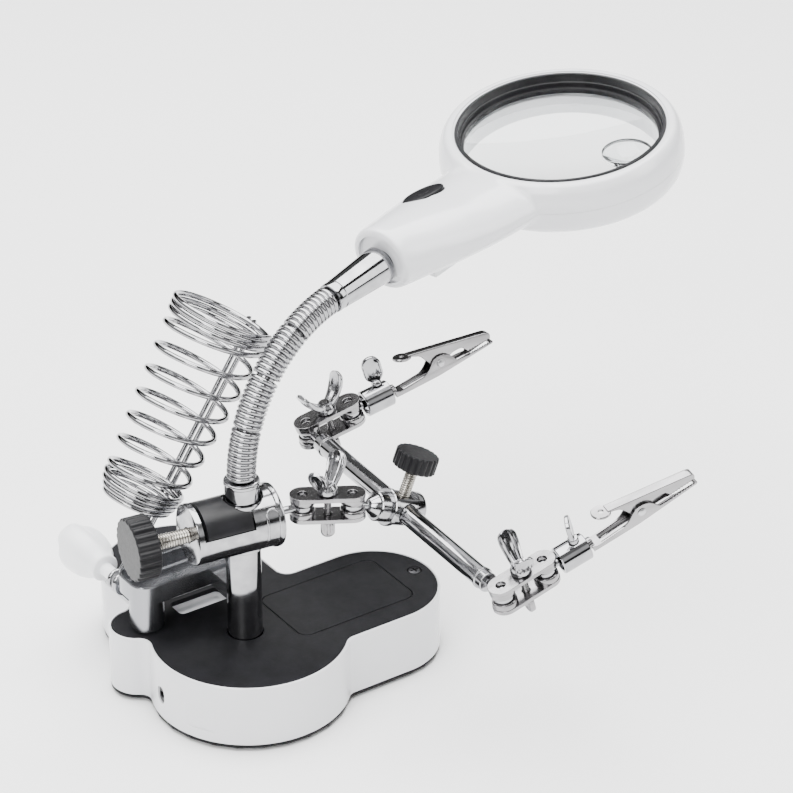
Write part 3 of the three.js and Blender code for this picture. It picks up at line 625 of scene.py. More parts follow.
def make_tray():
    x0, x1, y0, y1, r = TRAY
    z0, z1 = TRAY_Z
    w = TRAY_WALL
    hinge = at("holder_tilt")
    profile = ((-0.5, z0), (0, z0 + 0.6), (0, z1 - 0.5), (-0.5, z1), (-w + 0.4, z1), (-w, z1 - 0.4),
               (-w, z0 + w + 0.8), (-w - 0.8, z0 + w))
    body = skin("tray", [[(x, y, z) for x, y in rounded(x0 - g, x1 + g, y0 - g, y1 + g, r + g, 10)]
                         for g, z in profile])
    leg = [(0, BASE_H + GAP), (r - 0.5, BASE_H + GAP), (r, BASE_H + 0.9), (r, z0 + 1), (0, z0 + 1)]
    leg = turned("leg", leg, 56)
    shift(leg, x0 + r, y0 + r)
    lug = shift(along_y(rod(5, y1 - 1.2, hinge.y - 3.5)), hinge.x, 0, hinge.z)
    neck = block(-5, 6, POST_R - 2, y0 + 0.8, z0 + 0.2, z1 - 2)
    join(body, leg, lug, neck)
    bore = shift(along_y(rod(2.6, hinge.y - 9, hinge.y)), hinge.x, 0, hinge.z)
    cut(body, rod(POST_R + GAP, 20, 90, 64), bore)
    finish(body, "sponge_tray", brushed, bevel=0.3)


def make_holder():
    """Coil, two straight wires and eye, in the pivot's frame with X up along the wires."""
    low, high = 41, 138
    r_low, r_high, wire = 17.8, 23.8, 1.35
    side = math.radians(-72)
    turns = (4, 6.6, 3)
    close = 2.9
    pitch = (close, (high - low - close * (turns[0] + turns[2])) / turns[1], close)
    total = sum(turns)
    lean = math.atan2(r_high - r_low, high - low)
    steps = 520
    points = []
    for i in range(steps + 1):
        n = i / steps * total
        counts = (min(n, turns[0]), min(max(n - turns[0], 0), turns[1]), max(n - turns[0] - turns[1], 0))
        s = sum(c * p for c, p in zip(counts, pitch))
        r = r_low + (r_high - r_low) * s / (high - low) - 3 * max(0, 1 - n / 2.5)
        points.append(Vector((s, r * math.cos(TAU * n), r * math.sin(TAU * n))))
    lift = -(r_low + 1.9)
    tilt = Matrix.Rotation(lean, 4, Vector((0, math.sin(side), -math.cos(side))))
    offset = Vector((0, lift * math.cos(side), lift * math.sin(side)))
    points = [tilt @ (p + offset) + Vector((low, 0, 0)) for p in points]
    holder = tube("coil", points, wire, 12)
    for y in (-2.2, 2.2):
        line = [(4.9, y, 0), (high - 6, y, 0), (high - 2.5, y, 0.5), (high - 0.5, y, 1.8)]
        loop = [(3.9 * math.cos(TAU * k / 28), y, 3.9 * math.sin(TAU * k / 28)) for k in range(28)]
        gather(holder, tube("wire", line, 1.2, 12), tube("loop", loop, 1.2, 12, closed=True))
    lean_x = Vector((math.cos(math.radians(HOLDER_LEAN)), 0, math.sin(math.radians(HOLDER_LEAN))))
    place = axes(at("holder_tilt"), x=lean_x, z=Vector((-lean_x.z, 0, lean_x.x)))
    finish(holder, "iron_holder", chrome, place, bevel=0, angle=60)


def make_holder_knob():
    profile = (
        (0.01, -8, 0), (2.1, -8, 0), (2.2, -7.6, 0), (2.2, 3.4, 0), (3.2, 3.5, 0), (3.2, 12.4, 0),
        (6.2, 12.5, 0), (6.8, 13.1, 0), (6.8, 16.6, 0), (7.4, 18, 0.02), (8.9, 21, 0.05),
        (10.1, 25, 0.09), (10.8, 30, 0.115), (11, 35, 0.12), (10.6, 39, 0.12), (9.8, 41.6, 0.11),
        (8.6, 43, 0.09), (6.5, 43.4, 0.05), (0.01, 43.4, 0),
    )
    rings = []
    for r, z, lobe in profile:
        ring = []
        for i in range(72):
            a = TAU * i / 72
            rr = r * (1 + lobe * math.cos(3 * a) - 0.25 * lobe * math.cos(6 * a))
            ring.append((rr * math.cos(a), rr * math.sin(a), z))
        rings.append(ring)
    knob = along_y(skin("knob", rings))
    finish(knob, "holder_knob", knob_white, Matrix.Translation(at("holder_knob_turn")), bevel=0.3, angle=40)


# ---- column clamp ----
def ball_arc(radius, start=0.0, end=math.pi, steps=16):
    """Profile of a ball centred on the axis at height 0, from its lower pole up."""
    angles = [start + (end - start) * i / steps for i in range(steps + 1)]
    return [(radius * math.sin(a), -radius * math.cos(a)) for a in angles]


def ball_and_neck():
    return ball_arc(BALL_R, end=math.pi - math.asin(NECK_R / BALL_R))


def make_column_clamp():
    arm = at("arm_swing")
    cast = axes((0, 0, arm.z), x=(arm.x, arm.y, 0), z=(0, 0, 1))
    bore = POST_R + GAP + 0.9
    sleeve = ring_body("sleeve", [
        (POST_R + GAP, -12.2), (POST_R + GAP + 0.4, -12.6), (bore - 0.2, -12.6), (bore, -12.4), (bore, 12.4),
        (bore - 0.2, 12.6), (POST_R + GAP + 0.4, 12.6), (POST_R + GAP, 12.2)], 72)
    finish(sleeve, "clamp_sleeve", chrome, cast, bevel=0)

    body = along_x(turned("casting", [
        (0, -27), (13.4, -27), (14.1, -26.7), (14.4, -26), (14.4, 12.2), (15, 12.7), (15.1, 13.2),
        (15.1, 14.4), (14.8, 15.1), (14.1, 15.4), (0, 15.4)], 96))
    cut(body, block(-24.2, 0.7, -20, 20, 2.9, 20), block(-24.2, 0, -7.1, 7.1, -5.3, 10),
        rod(bore + GAP, -30, 30, 72), along_x(rod(SCREW_HOLE, -32, 0)), along_x(rod(NECK_R + 0.6, 8, 40)))
    legs = [(6.8, a) for a in range(-34, 30, 4)]
    crown = [math.radians(t) for t in range(0, 181, 12)]
    crown = [(9.8 - 3 * math.cos(t), 30 + 12 * math.sin(t)) for t in crown]
    line = legs + crown + [(12.8, a) for a in range(26, -35, -4)]
    points = [(x, -14.35 * math.cos(math.radians(a)), 14.35 * math.sin(math.radians(a))) for x, a in line]
    gather(body, tube("bead", points, 0.62, 12))
    finish(body, "clamp_casting", cast_chrome, cast, bevel=0.4)

    jaw = along_x(rod(14.1, -22.4, 0, 96))
    cut(jaw, block(-30, 5, -20, 20, -20, 3.2))
    join(jaw, block(-22.4, 1 - bore, -6.8, 6.8, -5, 6.2))
    cut(jaw, rod(bore + GAP, -30, 30, 72))
    finish(jaw, "clamp_jaw", bezel_black, cast, bevel=0.5)

    screw = along_x(threaded("screw", SCREW_R, -51, -22.7, 1.25, 0.4, 32))
    finish(screw, "clamp_screw", brassy, cast, bevel=0)
    knob = fluted("knob", 14.8, -5.4, 5.4, 22, 1.0, edge=1.1, dish=0)
    join(knob, turned("hub", [(0, 3), (6.6, 3), (6.5, 5.6), (5.4, 7), (0, 7)], 40))
    cut(knob, rod(SCREW_HOLE, -1, 30))
    finish(shift(along_x(knob), -50.4), "clamp_knob", knob_black, cast, bevel=0)

    stud = ball_and_neck() + [(1.8, 11.7), (3.3, 12.2), (3.6, 12.6), (3.6, 14), (3.3, 14.3), (2, 14.4),
                              (2, 19.8), (0, 20)]
    stud = shift(spin(along_x(turned("stud", stud, 40)), 180, "Z"), (arm.x ** 2 + arm.y ** 2) ** 0.5)
    finish(stud, "column_ball_stud", chrome, cast, bevel=0.15)


# ---- ball clamps ----
def wing_nut(turn, z0):
    """Rounded hub and two broad leaves whose faces carry long ridges."""
    hub = turned("hub", [(0, z0), (4.4, z0), (4.8, z0 + 0.4), (4.8, z0 + 1.6), (4.4, z0 + 3),
                         (3.6, z0 + 4.2), (2.9, z0 + 4.8), (0, z0 + 4.8)], 40)
    lean = math.radians(36)
    count = 24
    for way in (0, 180):
        rings = []
        for k in range(count + 1):
            t = k / count
            rise = 17 * t
            tip = max(0.0, rise - 13.4)
            half = (3.0 + 1.5 * min(1, t * 1.6)) - 3.6 + math.sqrt(max(0.02, 3.6 ** 2 - tip ** 2))
            thick = 1.5 - 0.55 * t
            bow = 1.5 * math.sin(math.pi * t) - 0.5
            x = 2.2 + rise * math.sin(lean) + bow * math.cos(lean)
            z = z0 + 1.8 + rise * math.cos(lean) - bow * math.sin(lean)
            ring = []
            for i in range(48):
                a = TAU * i / 48
                y = half * math.copysign(abs(math.cos(a)) ** 0.6, math.cos(a))
                ridge = 1 + 0.3 * math.cos(4 * math.pi * y / max(half, 0.5)) * (1 - t ** 5)
                face = thick * ridge * math.copysign(abs(math.sin(a)) ** 0.6, math.sin(a))
                ring.append((x + face * math.cos(lean), y, z - face * math.sin(lean)))
            rings.append(ring)
        join(hub, spin(skin("leaf", rings), way, "Z"))
    cut(hub, rod(2.1, z0 - 2, z0 + 20, 24))
    return spin(hub, turn, "Z")


def grip_plate(outline, t, dish=0.35):
    """A thin paddle in the XZ plane with rounded rims and a dished face on both sides."""
    cx = sum(p[0] for p in outline) / len(outline)
    cy = sum(p[1] for p in outline) / len(outline)

    def ring(inset, depth):
        points = []
        for x, y in outline:
            away = math.hypot(x - cx, y - cy)
            k = max(0.0, 1 - inset / away)
            points.append((cx + (x - cx) * k, depth, cy + (y - cy) * k))
        return points

    levels = ((1.9, -t + dish), (1.2, -t + 0.1), (0.7, -t), (0.2, -t + 0.2), (0, -t + 0.5), (0, t - 0.5),
              (0.2, t - 0.2), (0.7, t), (1.2, t - 0.1), (1.9, t - dish))
    return skin("grip", [ring(inset, depth) for inset, depth in levels])


def make_ball_clamp(name, first, second, nut, wing_turn, paddle_turn):
    place = axes(at(first), x=at(second) - at(first), z=along(nut))
    for side, piece in ((1, "top_plate"), (-1, "bottom_plate")):
        holes = [circle(2.3, 32), circle(2.3, 32, SPAN, 0), circle(2.1, 24, SPAN / 2, 0)]
        low, high = sorted((side * PLATE_GAP, side * (PLATE_GAP + CLAMP_T)))
        plate = prism("plate", [stadium(CLAMP_R, SPAN, 20)] + holes, low, high)
        for x in (0, SPAN):
            seat = [(math.sqrt(25 - z * z), side * z) for z in (1.5, 2.1, 2.7, 3.3, 3.9, 4.3)]
            rim = [(r, side * z) for r, z in ((2.6, 4.7), (5.8, 4.7), (5.9, 3.2), (5.7, 1.8), (5.4, 1.4))]
            cup = ring_body("cup", seat + rim, 40)
            gather(plate, shift(cup, x))
        finish(plate, f"{name}_{piece}", pressed, place, bevel=0.45)
    centre = place @ Matrix.Translation((SPAN / 2, 0, 0))
    under = -PLATE_GAP - CLAMP_T - GAP
    bolt = threaded("bolt", 1.75, under - 1, PLATE_GAP + CLAMP_T + 5.6, 0.9, 0.2, 24)
    head = turned("head", [(0, under - 1.8), (3.1, under - 1.8), (3.4, under - 1.5), (3.4, under - 0.2),
                           (3.2, under), (0, under)], 32)
    outline = rounded(-3.3, 3.3, -8.2, 1, 3.1, 8)
    paddle = grip_plate(outline, 1.3)
    for x in (-1.5, 0, 1.5):
        join(paddle, tube("rib", [(x, 0, -6.6 + abs(x) * 0.5), (x, 0, -3), (x, 0, -0.4)], 1.15, 10))
    shift(spin(paddle, paddle_turn, "Z"), 0, 0, under - 1.6)
    gather(bolt, join(head, paddle))
    finish(bolt, f"{name}_bolt", pressed, centre, bevel=0)
    finish(wing_nut(wing_turn, PLATE_GAP + CLAMP_T + GAP), f"{name}_wing_nut", cast_chrome, centre, bevel=0)


# ---- cross bar and its clamp ----
def make_bar_clamp():
    hub = at("bar_knob_turn")
    tee = axes(hub, x=hub - at("bar_roll"), z=along("bar_knob_turn"))
    profile = [(r, z - 27) for r, z in ball_and_neck()]
    profile += [(1.8, -18.8), (2.6, -18.5), (3.2, -18.1), (5.5, -14.6), (6.5, -14.5), (7, -14.1), (7, -8.3),
                (8.5, -8.3), (8.9, -7.9), (8.9, -6.3), (8.5, -5.9), (8.2, -5.7), (8.2, 9.2), (7.9, 9.8),
                (7.2, 10), (0, 10)]
    body = along_x(turned("tee", profile, 72))
    cut(body, along_y(rod(BAR_R + GAP, -20, 20, 64)), block(-5.4, 6.4, -20, 20, 6.6, 20), rod(3.2, 0, 20))
    finish(body, "bar_clamp", cast_chrome, tee, bevel=0.3)
    screw = threaded("screw", 2.9, BAR_R + 2 * GAP, 24.4, 1.1, 0.35, 28)
    finish(screw, "bar_screw", brassy, tee, bevel=0)
    knob = fluted("knob", 10.3, 20.3, 28.5, 20, 0.8, edge=0.9, dish=0)
    join(knob, turned("hub", [(0, 19.1), (3.6, 19.1), (4, 19.5), (4, 21), (0, 21)], 32))
    cut(knob, rod(3.2, 0, 24.7))
    finish(knob, "bar_knob", knob_black, tee, bevel=0)

    near, far = at("near_clamp_swing"), at("far_clamp_swing")
    length = (far - near).length
    half = ball_and_neck()
    half += [(1.8, 12), (4.3, 12), (4.7, 12.4), (4.7, 16.3), (5.2, 16.5), (5.2, 17.8), (4.7, 18)]
    bar = half + [(r, length - z) for r, z in reversed(half)]
    finish(turned("bar", bar, 64), "cross_bar", chrome, axes(near, z=far - near), bevel=0.15)


# ---- clips ----
def side_profile(points, half):
    """A plate in the XZ plane, half to each side of it."""
    return spin(prism("profile", [[(x, z) for x, z in points]], -half, half), 90, "X")


def teeth(x0, x1, crest, root, pitch):
    """Saw edge along X, as [x, z] points from x0 to x1."""
    count = round((x1 - x0) / pitch)
    points = []
    for k in range(count):
        x = x0 + (x1 - x0) * k / count
        points += [(x, root), (x + pitch * 0.5, crest)]
    return points + [(x1, root)]


def sheet_body(points, half, edge):
    """A side profile with its edges rounded over, as folded sheet is."""
    body = side_profile(points, half)
    soften(body, edge, 40)
    body.modifiers["edges"].segments = 4
    body.modifiers["edges"].harden_normals = False
    return bake(body)


def trough(half, floor, x0, x1):
    """A rounded slot along X, open above: what is cut away to leave a folded channel."""
    bend = half * 0.7
    loop = [(-half, 14), (-half, floor + bend)]
    for a in range(-75, 76, 15):
        loop.append((half * math.sin(math.radians(a)), floor + bend * (1 - math.cos(math.radians(a)))))
    loop += [(half, floor + bend), (half, 14)]
    return along_x(prism("trough", [[(-z, y) for y, z in loop]], x0, x1))


def make_clip(name, side, paddle_turn):
    socket_joint = f"{side}_socket_swing"
    up = along(f"{side}_thumb_screw_turn")
    ahead = at(f"{side}_clip_roll") - at(socket_joint)
    place = axes(at(socket_joint), x=ahead, z=up)
    hole = 16.9
    profile = ball_and_neck() + [
        (1.8, 9.5), (4.9, 9.5), (4.9, 7.7), (5.1, 7.5), (6.1, 7.5), (6.5, 7.9), (6.5, 21.5), (6.1, 21.9),
        (4.4, 21.9), (4.2, 21.7), (4.2, 12.3), (0, 12.3)]
    socket = along_x(turned("socket", profile, 56))
    cut(socket, shift(rod(1.9, 0, 20), hole))
    finish(socket, f"{name}_socket", chrome, place, bevel=0.15)

    thumb = threaded("thumb", 1.55, 3.2, 8.6, 0.8, 0.18, 24)
    collar = turned("collar", [(0, 6.9), (2.4, 6.9), (2.6, 7.1), (2.6, 8.3), (2.2, 9), (0, 9.8)], 32)
    paddle = grip_plate(rounded(-4.8, 4.8, 0, 13.6, 4.7, 12), 1.1, 0.45)
    shift(spin(paddle, paddle_turn, "Z"), 0, 0, 8.4)
    gather(thumb, join(collar, paddle))
    finish(thumb, f"{name}_thumb_screw", chrome, place @ Matrix.Translation((hole, 0, 0)), bevel=0)

    clip = axes(at(f"{side}_clip_roll"), x=along(f"{side}_clip_roll"), z=up)
    stretch = Matrix.Diagonal((CLIP_STRETCH, 1, CLIP_STRETCH, 1))
    half = CLIP_HALF

    def pivot_bore():
        return shift(along_y(rod(1.2, -9, 9)), PIVOT[0], 0, PIVOT[1])

    low = [(1.5, -2.8), (10, -3.2), (24, -3.7), (38, -3.1), (53.2, -2.4), (53.7, -2), (53.8, -1.4)]
    low += list(reversed(teeth(41, 53.4, -1.1, -1.8, 1.4)))
    low += [(39, -1.5), (35, -1.2), (33.8, 0.4), (32.8, 2.2), (31.2, 3.8), (29.8, 4.7), (28.2, 5.2),
            (26.2, 5.4), (24.2, 4.9), (22.6, 3.6), (20.6, 1.6), (19, 0.4), (17, -0.5), (10, -0.8),
            (4, -0.9), (1.5, 0.4)]
    lower = cut(sheet_body(low, half, 0.9), trough(half - 0.8, -2.9, 6, 52.2), pivot_bore())
    tail = turned("tail", [(0, -8.2), (2.5, -8.2), (2.8, -7.9), (2.8, 2.4), (2.5, 3), (0, 3)], 32)
    join(move(lower, stretch), along_x(tail))
    finish(lower, f"{name}_lower_jaw", pressed, clip, bevel=0.12)

    top = [(13.6, 11.5), (16, 10.7), (18.2, 9.6), (19.6, 8.2), (21.2, 5.2), (22.6, 2.4), (24, 0.3),
           (26, -0.8), (28, -1), (29.4, -0.5), (31, 1), (32.6, 2.4), (34.5, 2.9), (37.5, 2.9),
           (39.4, 2.4), (40.6, 0.6)]
    top += teeth(41, 53.6, -0.75, -0.1, 1.4)
    top += [(54, 1.2), (53.8, 2.4), (52.8, 3.2), (51.4, 3.7), (13.6, 12.8)]
    inside = side_profile([(14.4, 11.6), (14.4, -3), (51.8, -3), (51.8, 2.6)], 1.6)
    upper = cut(sheet_body(top, half - 1.1, 0.8), inside, pivot_bore())
    pad = turned("pad", [(0, 0), (4.1, 0), (4.4, 0.3), (4.4, 1), (4.1, 1.3), (0, 1.3)], 40)
    cut(pad, rod(1.3, -1, 3, 24))
    shift(spin(shift(pad, 11.6), 14, "Y"), -0.2, 0, 14.4)
    join(upper, pad)
    finish(move(upper, stretch), f"{name}_upper_jaw", pressed, clip, bevel=0.12)

    dome = [(0, half + 1.0), (0.9, half + 0.92), (1.5, half + 0.7), (1.9, half + GAP), (0.9, half + GAP)]
    rivet = along_y(turned("rivet", dome + [(r, -z) for r, z in reversed(dome)], 32))
    finish(move(shift(rivet, PIVOT[0], 0, PIVOT[1]), stretch), f"{name}_rivet", steel, clip, bevel=0)


# ---- gooseneck ----
def make_neck():
    """Four lengths on one arc; each ends in a ball that sits in the hollow of the next."""
    first = at("neck_bend_1")
    bend_axis = along("neck_bend_1")
    ahead = bend_axis.cross(Vector((0, 0, 1)))
    place = axes(first, x=ahead, z=(0, 0, 1))
    pieces, bend, ribs = 4, 68, 10
    step = math.radians(82.5) / pieces
    trim = 0.5 / bend
    first_trim = 0.8 / bend

    def on_arc(a):
        return Vector((bend * (1 - math.cos(a)), 0, bend * math.sin(a)))

    def joint_ball(a, r):
        return move(turned("ball", ball_arc(r), 32), Matrix.Translation(on_arc(a)))

    for i in range(pieces):
        a0, a1 = i * step + (trim if i else first_trim), (i + 1) * step - trim
        count = ribs * 10
        points = [on_arc(a0 + (a1 - a0) * k / count) for k in range(count + 1)]
        radii = [5.7 + 1.1 * abs(math.sin(math.pi * ribs * k / count)) ** 0.5 for k in range(count + 1)]
        piece = tube("neck", points, radii, 40)
        cut(piece, joint_ball(i * step, 4.8))
        join(piece, joint_ball((i + 1) * step, 4.45))
        finish(piece, f"gooseneck_{i + 1}", chrome, place, bevel=0, angle=50)


def make_ferrule():
    """Chromed cone between the gooseneck and the handle."""
    x, _, z = head_axes()
    place = axes(at("neck_bend_5"), x=x, z=z)
    profile = [(0, 0.6), (6.2, 0.6), (6.9, 0.9), (7.1, 1.4), (7.1, 4.6), (6.8, 4.9), (6.8, 5.3), (7.2, 5.6),
               (9.05, 34.4), (8.8, 34.8), (6, 34.9), (6, 47.6), (5.6, 48), (0, 48)]
    body = along_x(turned("ferrule", profile, 72))
    cut(body, turned("ball", ball_arc(4.8), 32))
    finish(body, "neck_ferrule", chrome, place, bevel=0.15)


# ---- magnifier head ----
def head_axes():
    """The head's X, Y and Z: X climbs a little along the handle, Y is the gooseneck's bend axis."""
    y = along("neck_bend_5")
    climb = math.radians(HEAD_CLIMB)
    up = Vector((0, 0, 1))
    x = y.cross(up) * math.cos(climb) + up * math.sin(climb)
    return x, y, x.cross(y)


def head_place():
    x, y, z = head_axes()
    low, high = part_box("lens_bezel")
    centre = (Vector(low) + Vector(high)) / 2 / MM
    return axes(centre + 4.8 * z, x=x, z=z)


def handle_form(shrink, sides=72):
    """Loft of ovals along the handle; shrink makes it smaller all round."""
    stations = ((-131, 16.2, 14.4, -5.6), (-128, 17.4, 15.2, -5.8), (-116, 20, 15, -7),
                (-104, 22.8, 14.6, -8.2), (-90, 25.2, 14, -9.6), (-74, 27, 13.2, -11.2),
                (-45, 29, 12.2, -13))
    rings = []
    last = len(stations) - 1
    for i in range(last):
        for k in range(6):
            t = k / 6
            here = stations[max(i - 1, 0)], stations[i], stations[i + 1], stations[min(i + 2, last)]
            p = []
            for c in range(4):
                a, b, d, e = (s[c] for s in here)
                p.append(0.5 * (2 * b + (d - a) * t + (2 * a - 5 * b + 4 * d - e) * t * t
                                + (3 * b - a - 3 * d + e) * t ** 3))
            rings.append(p)
    rings.append(stations[-1])
    loops = []
    for x, a, b, z in rings:
        x = max(x, -131 + shrink)
        loops.append([(x, (a - shrink) * math.cos(t), z + (b - shrink) * math.sin(t))
                      for t in (TAU * k / sides for k in range(sides))])
    return skin("handle", loops)


def make_head():
    place = head_place()
    shell, lens, bezel, height, part = 59.3, 47.4, 50.7, 26.5, -13
    outer = turned("ring", [
        (0, 0), (shell - 4.6, 0), (shell - 3.6, -0.7), (shell - 1.9, -3.2), (shell - 0.9, -6),
        (shell - 0.3, -9), (shell, -14), (shell - 0.2, -17), (shell - 0.8, -20),
        (shell - 1.8, -22.8), (shell - 3.2, -24.8), (shell - 5, -26.1), (shell - 6.6, -height),
        (0, -height)], 180)
    join(outer, handle_form(0))
    remesh = outer.modifiers.new("fillet", "REMESH")
    remesh.mode = "VOXEL"
    remesh.voxel_size = 0.9
    smooth = outer.modifiers.new("smooth", "SMOOTH")
    smooth.factor = 0.6
    smooth.iterations = 6
    bake(outer)

    opening = ring_body("opening", [
        (0.01, 5), (bezel + 1.3, 5), (bezel + 1.3, -0.5), (bezel + GAP, -0.9), (bezel + GAP, -12.2),
        (lens + 0.4, -12.2), (lens + 0.4, -40), (0.01, -40)], 144)
    hollow = ring_body("hollow", [
        (bezel + 2.3, -2.4), (shell - 5.8, -2.4), (shell - 3.6, -5), (shell - 2.3, -9), (shell - 2, -14),
        (shell - 2.8, -20), (shell - 5.4, -24.5), (lens + 2.6, -24.5), (bezel + 2.3, -13)], 96)
    socket = shift(along_x(rod(6.5, -140, -118, 48)), 0, 0, -8)
    rim = [(13.6 * math.cos(TAU * k / 64), -5.9 + 11.9 * math.sin(TAU * k / 64)) for k in range(64)]
    recess = along_x(prism("recess", [[(-z, y) for y, z in rim]], -135, -129.4))
    tilt = Matrix.Translation((-86, 12.4, 2.2)) @ Matrix.Rotation(math.radians(-14), 4, "X")
    tilt = tilt @ Matrix.Rotation(math.radians(-15), 4, "Z")

    def oval(a, b, z0, z1):
        return move(move(rod(1, z0, z1, 64), Matrix.Diagonal((a, b, 1, 1))), tilt)

    cut(outer, opening, hollow, socket, recess, oval(11.4, 6.2, -8, 8), oval(12.9, 7.6, -0.35, 8))

    upper = outer
    lower = outer.copy()
    lower.data = outer.data.copy()
    bpy.context.scene.collection.objects.link(lower)
    seam = 0.06
    cut(upper, block(-200, 100, -100, 100, -60, part + seam))
    cut(lower, block(-200, 100, -100, 100, part - seam, 60))
    holes = [shift(rod(2.5, -30, -20, 24), *p) for p in lamp_places()]
    cut(lower, *holes)
    tab = prism("tab", [[(-104, -8), (-104, 5), (-90, 6), (-76, 4), (-80, -8)]], -27.4, -22.8)
    join(lower, tab)
    finish(upper, "head_upper_shell", shell_white, place, bevel=0, angle=40)
    finish(lower, "head_lower_shell", shell_white, place, bevel=0, angle=40)

    button = turned("button", [(0, -3.2), (0.97, -3.2), (1, -3), (1, -0.1), (0.97, 0.25), (0.9, 0.45),
                               (0.6, 0.6), (0.3, 0.68), (0, 0.7)], 72)
    move(button, Matrix.Diagonal((11, 5.8, 1, 1)))
    sign = [math.radians(a) for a in range(45, 316, 9)]
    sign = [(3.4 * math.sin(a), 2.4 * math.cos(a), 0.62) for a in sign]
    gather(button, tube("sign", sign, 0.26, 10), tube("stem", [(0, 0.6, 0.68), (0, 3, 0.52)], 0.26, 10))
    finish(move(button, tilt), "switch_button", knob_black, place, bevel=0)

    rim = ring_body("bezel", [
        (bezel - 1.5, 0), (bezel - 0.3, 0.1), (bezel, -0.3), (bezel, -9.6), (lens - 0.6, -9.6),
        (lens - 0.6, -7.2), (lens + 0.7, -6.9), (lens + 1.0, -4.4), (lens + 1.7, -4.1),
        (lens + 1.75, -0.5)], 144)
    finish(rim, "lens_bezel", bezel_black, place, bevel=0.15)

    r = lens + 1.6
    top = [(r * k / 16, -10.2 - (k / 16) ** 2) for k in range(17)]
    bottom = [(r * k / 16, -16.6 + 3.4 * (k / 16) ** 2) for k in range(16, -1, -1)]
    disc = turned("lens", top + bottom, 128)
    cut(disc, shift(rod(12.3, -40, -12.5, 64), *SMALL_LENS_AT))
    finish(disc, "main_lens", glass, place, bevel=0.1)
    bulge = [(12 * k / 12, -19 + 3.4 * (k / 12) ** 2) for k in range(12, -1, -1)]
    small = shift(turned("small", [(0, -12.8), (12, -12.8)] + bulge, 72), *SMALL_LENS_AT)
    finish(small, "small_lens", glass, place, bevel=0.1)

    inner, edge = lens + 3.8, shell - 5.6
    board = ring_body("board", [(inner, -24.2), (edge, -24.2), (edge, -22.9), (inner, -22.9)], 120)
    finish(board, "led_board", board_white, place, bevel=0.1)
    dome = [(0, -26.2), (0.9, -26.05), (1.6, -25.6), (1.9, -25), (2, -24.3), (2, -24.1), (0, -24.1)]
    for i, p in enumerate(lamp_places()):
        bulb = shift(turned("bulb", dome, 28), *p)
        put(bulb, f"lamp_{i + 1}", "led_board", lamp, place)


def lamp_places():
    angles = [TAU * (k + 0.5) / LAMPS for k in range(LAMPS)]
    return [(LAMP_RING_R * math.cos(a), LAMP_RING_R * math.sin(a)) for a in angles]


# ---- build everything ----
make_base()
make_tray()
make_holder()
make_holder_knob()
make_column_clamp()
make_ball_clamp("arm_clamp", "arm_swing", "bar_roll", "arm_wing_nut_turn", 62, 0)
make_bar_clamp()
make_ball_clamp("far_clamp", "far_clamp_swing", "far_socket_swing", "far_wing_nut_turn", 15, 90)
make_ball_clamp("near_clamp", "near_clamp_swing", "near_socket_swing", "near_wing_nut_turn", 76, 90)
make_clip("far_clip", "far", -12)
make_clip("near_clip", "near", 64)
make_neck()
make_ferrule()
make_head()


# ---- floor, light and camera ----
def make_floor():
    corners = [(x, y, -0.0002) for x, y in ((-6, -6), (6, -6), (6, 6), (-6, 6))]
    floor = mesh_object("floor", corners, [(0, 1, 2, 3)])
    pale = surface("pale_floor", (0.97, 0.97, 0.97), 0.7, mottle=3, shade=(0.95, 0.95, 0.95))
    floor.data.materials.append(pale)


def area_light(name, place, size, power, target=(0, 0, 0.1)):
    data = bpy.data.lights.new(name, "AREA")
    data.shape = "RECTANGLE"
    data.size, data.size_y = size
    data.energy = power
    obj = bpy.data.objects.new(name, data)
    obj.location = place
    obj.rotation_euler = (Vector(target) - Vector(place)).to_track_quat("-Z", "Y").to_euler()
    bpy.context.scene.collection.objects.link(obj)


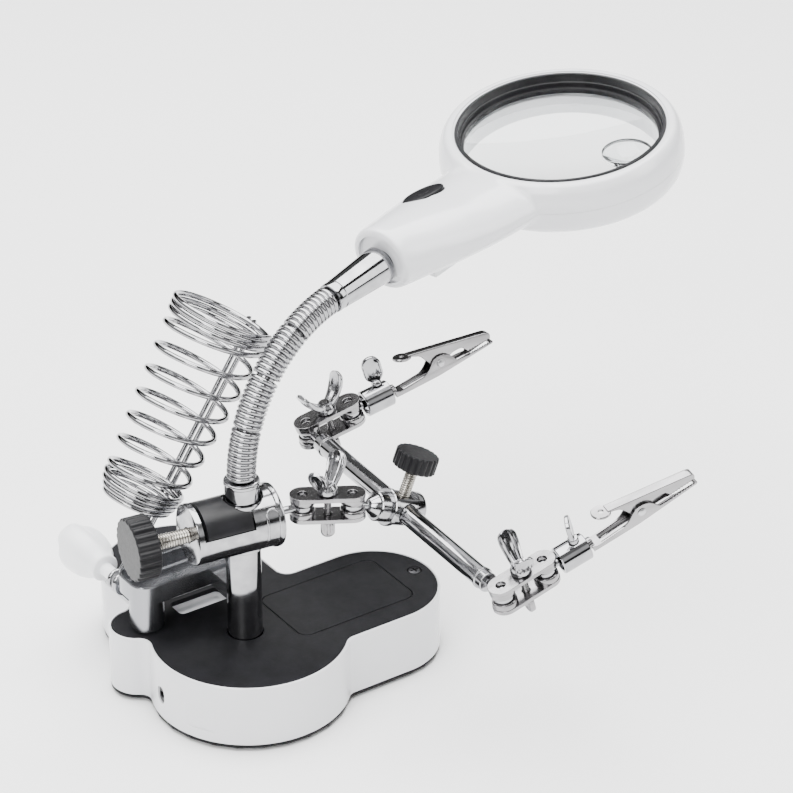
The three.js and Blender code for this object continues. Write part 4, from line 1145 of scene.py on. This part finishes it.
def make_world():
    """Studio surround: pale overhead, with dark and bright strips that chrome can mirror."""
    world = bpy.data.worlds.new("studio")
    bpy.context.scene.world = world
    world.use_nodes = True
    nodes, links = world.node_tree.nodes, world.node_tree.links
    back = nodes["Background"]
    where = nodes.new("ShaderNodeTexCoord").outputs["Generated"]
    split = nodes.new("ShaderNodeSeparateXYZ")
    links.new(where, split.inputs["Vector"])

    def math_node(operation, *values):
        node = nodes.new("ShaderNodeMath")
        node.operation = operation
        for slot_in, value in zip(node.inputs, values):
            if isinstance(value, (int, float)):
                slot_in.default_value = value
            else:
                links.new(value, slot_in)
        return node.outputs["Value"]

    def ramp(value, stops):
        node = nodes.new("ShaderNodeValToRGB")
        links.new(value, node.inputs["Fac"])
        elements = node.color_ramp.elements
        elements[0].position = stops[0][0]
        elements[1].position = stops[-1][0]
        for position, _ in stops[1:-1]:
            elements.new(position)
        for element, (_, level) in zip(elements, stops):
            element.color = (level, level, level, 1)
        return node.outputs["Color"]

    height = math_node("MULTIPLY_ADD", split.outputs["Z"], 0.5, 0.5)
    rows = ramp(height, (
        (0.0, 0.8), (0.46, 0.75), (0.5, 0.04), (0.61, 0.02), (0.66, 1.0), (0.8, 1.0), (0.88, 0.2),
        (1.0, 0.7)))
    turn = math_node("ARCTAN2", split.outputs["Y"], split.outputs["X"])
    turn = math_node("MULTIPLY_ADD", turn, 1 / TAU, 0.5)
    columns = ramp(turn, (
        (0.0, 1.0), (0.07, 0.02), (0.16, 0.02), (0.19, 1.0), (0.3, 1.0), (0.33, 0.01), (0.46, 0.02),
        (0.49, 1.0), (0.6, 1.0), (0.63, 0.02), (0.75, 0.03), (0.79, 1.0), (0.92, 1.0), (1.0, 1.0)))
    mixed = nodes.new("ShaderNodeMix")
    mixed.data_type = "RGBA"
    mixed.blend_type = "MULTIPLY"
    mixed.inputs["Factor"].default_value = 0.85
    links.new(rows, mixed.inputs["A"])
    links.new(columns, mixed.inputs["B"])
    links.new(mixed.outputs["Result"], back.inputs["Color"])
    back.inputs["Strength"].default_value = 1.0


def make_camera():
    right, up = Vector((0.8241, -0.5664, 0)), Vector((0.2789, 0.4058, 0.8704))
    ahead = Vector((0.4930, 0.7173, -0.4924))
    data = bpy.data.cameras.new("camera")
    data.lens = 149.8
    data.sensor_width = 36
    data.clip_end = 20
    camera = bpy.data.objects.new("camera", data)
    turn = Matrix((right, up, -ahead)).transposed().to_4x4()
    turn.translation = Vector((-0.66324, -1.08805, 0.87767))
    camera.matrix_world = turn
    bpy.context.scene.collection.objects.link(camera)
    bpy.context.scene.camera = camera


make_floor()
make_world()
make_camera()
area_light("overhead", (0.1, 0.3, 1.7), (2.2, 2.2), 138)
area_light("key", (-1.3, -0.9, 1.2), (0.9, 1.2), 32)
area_light("fill", (1.3, -1.1, 0.9), (0.7, 1.2), 12)
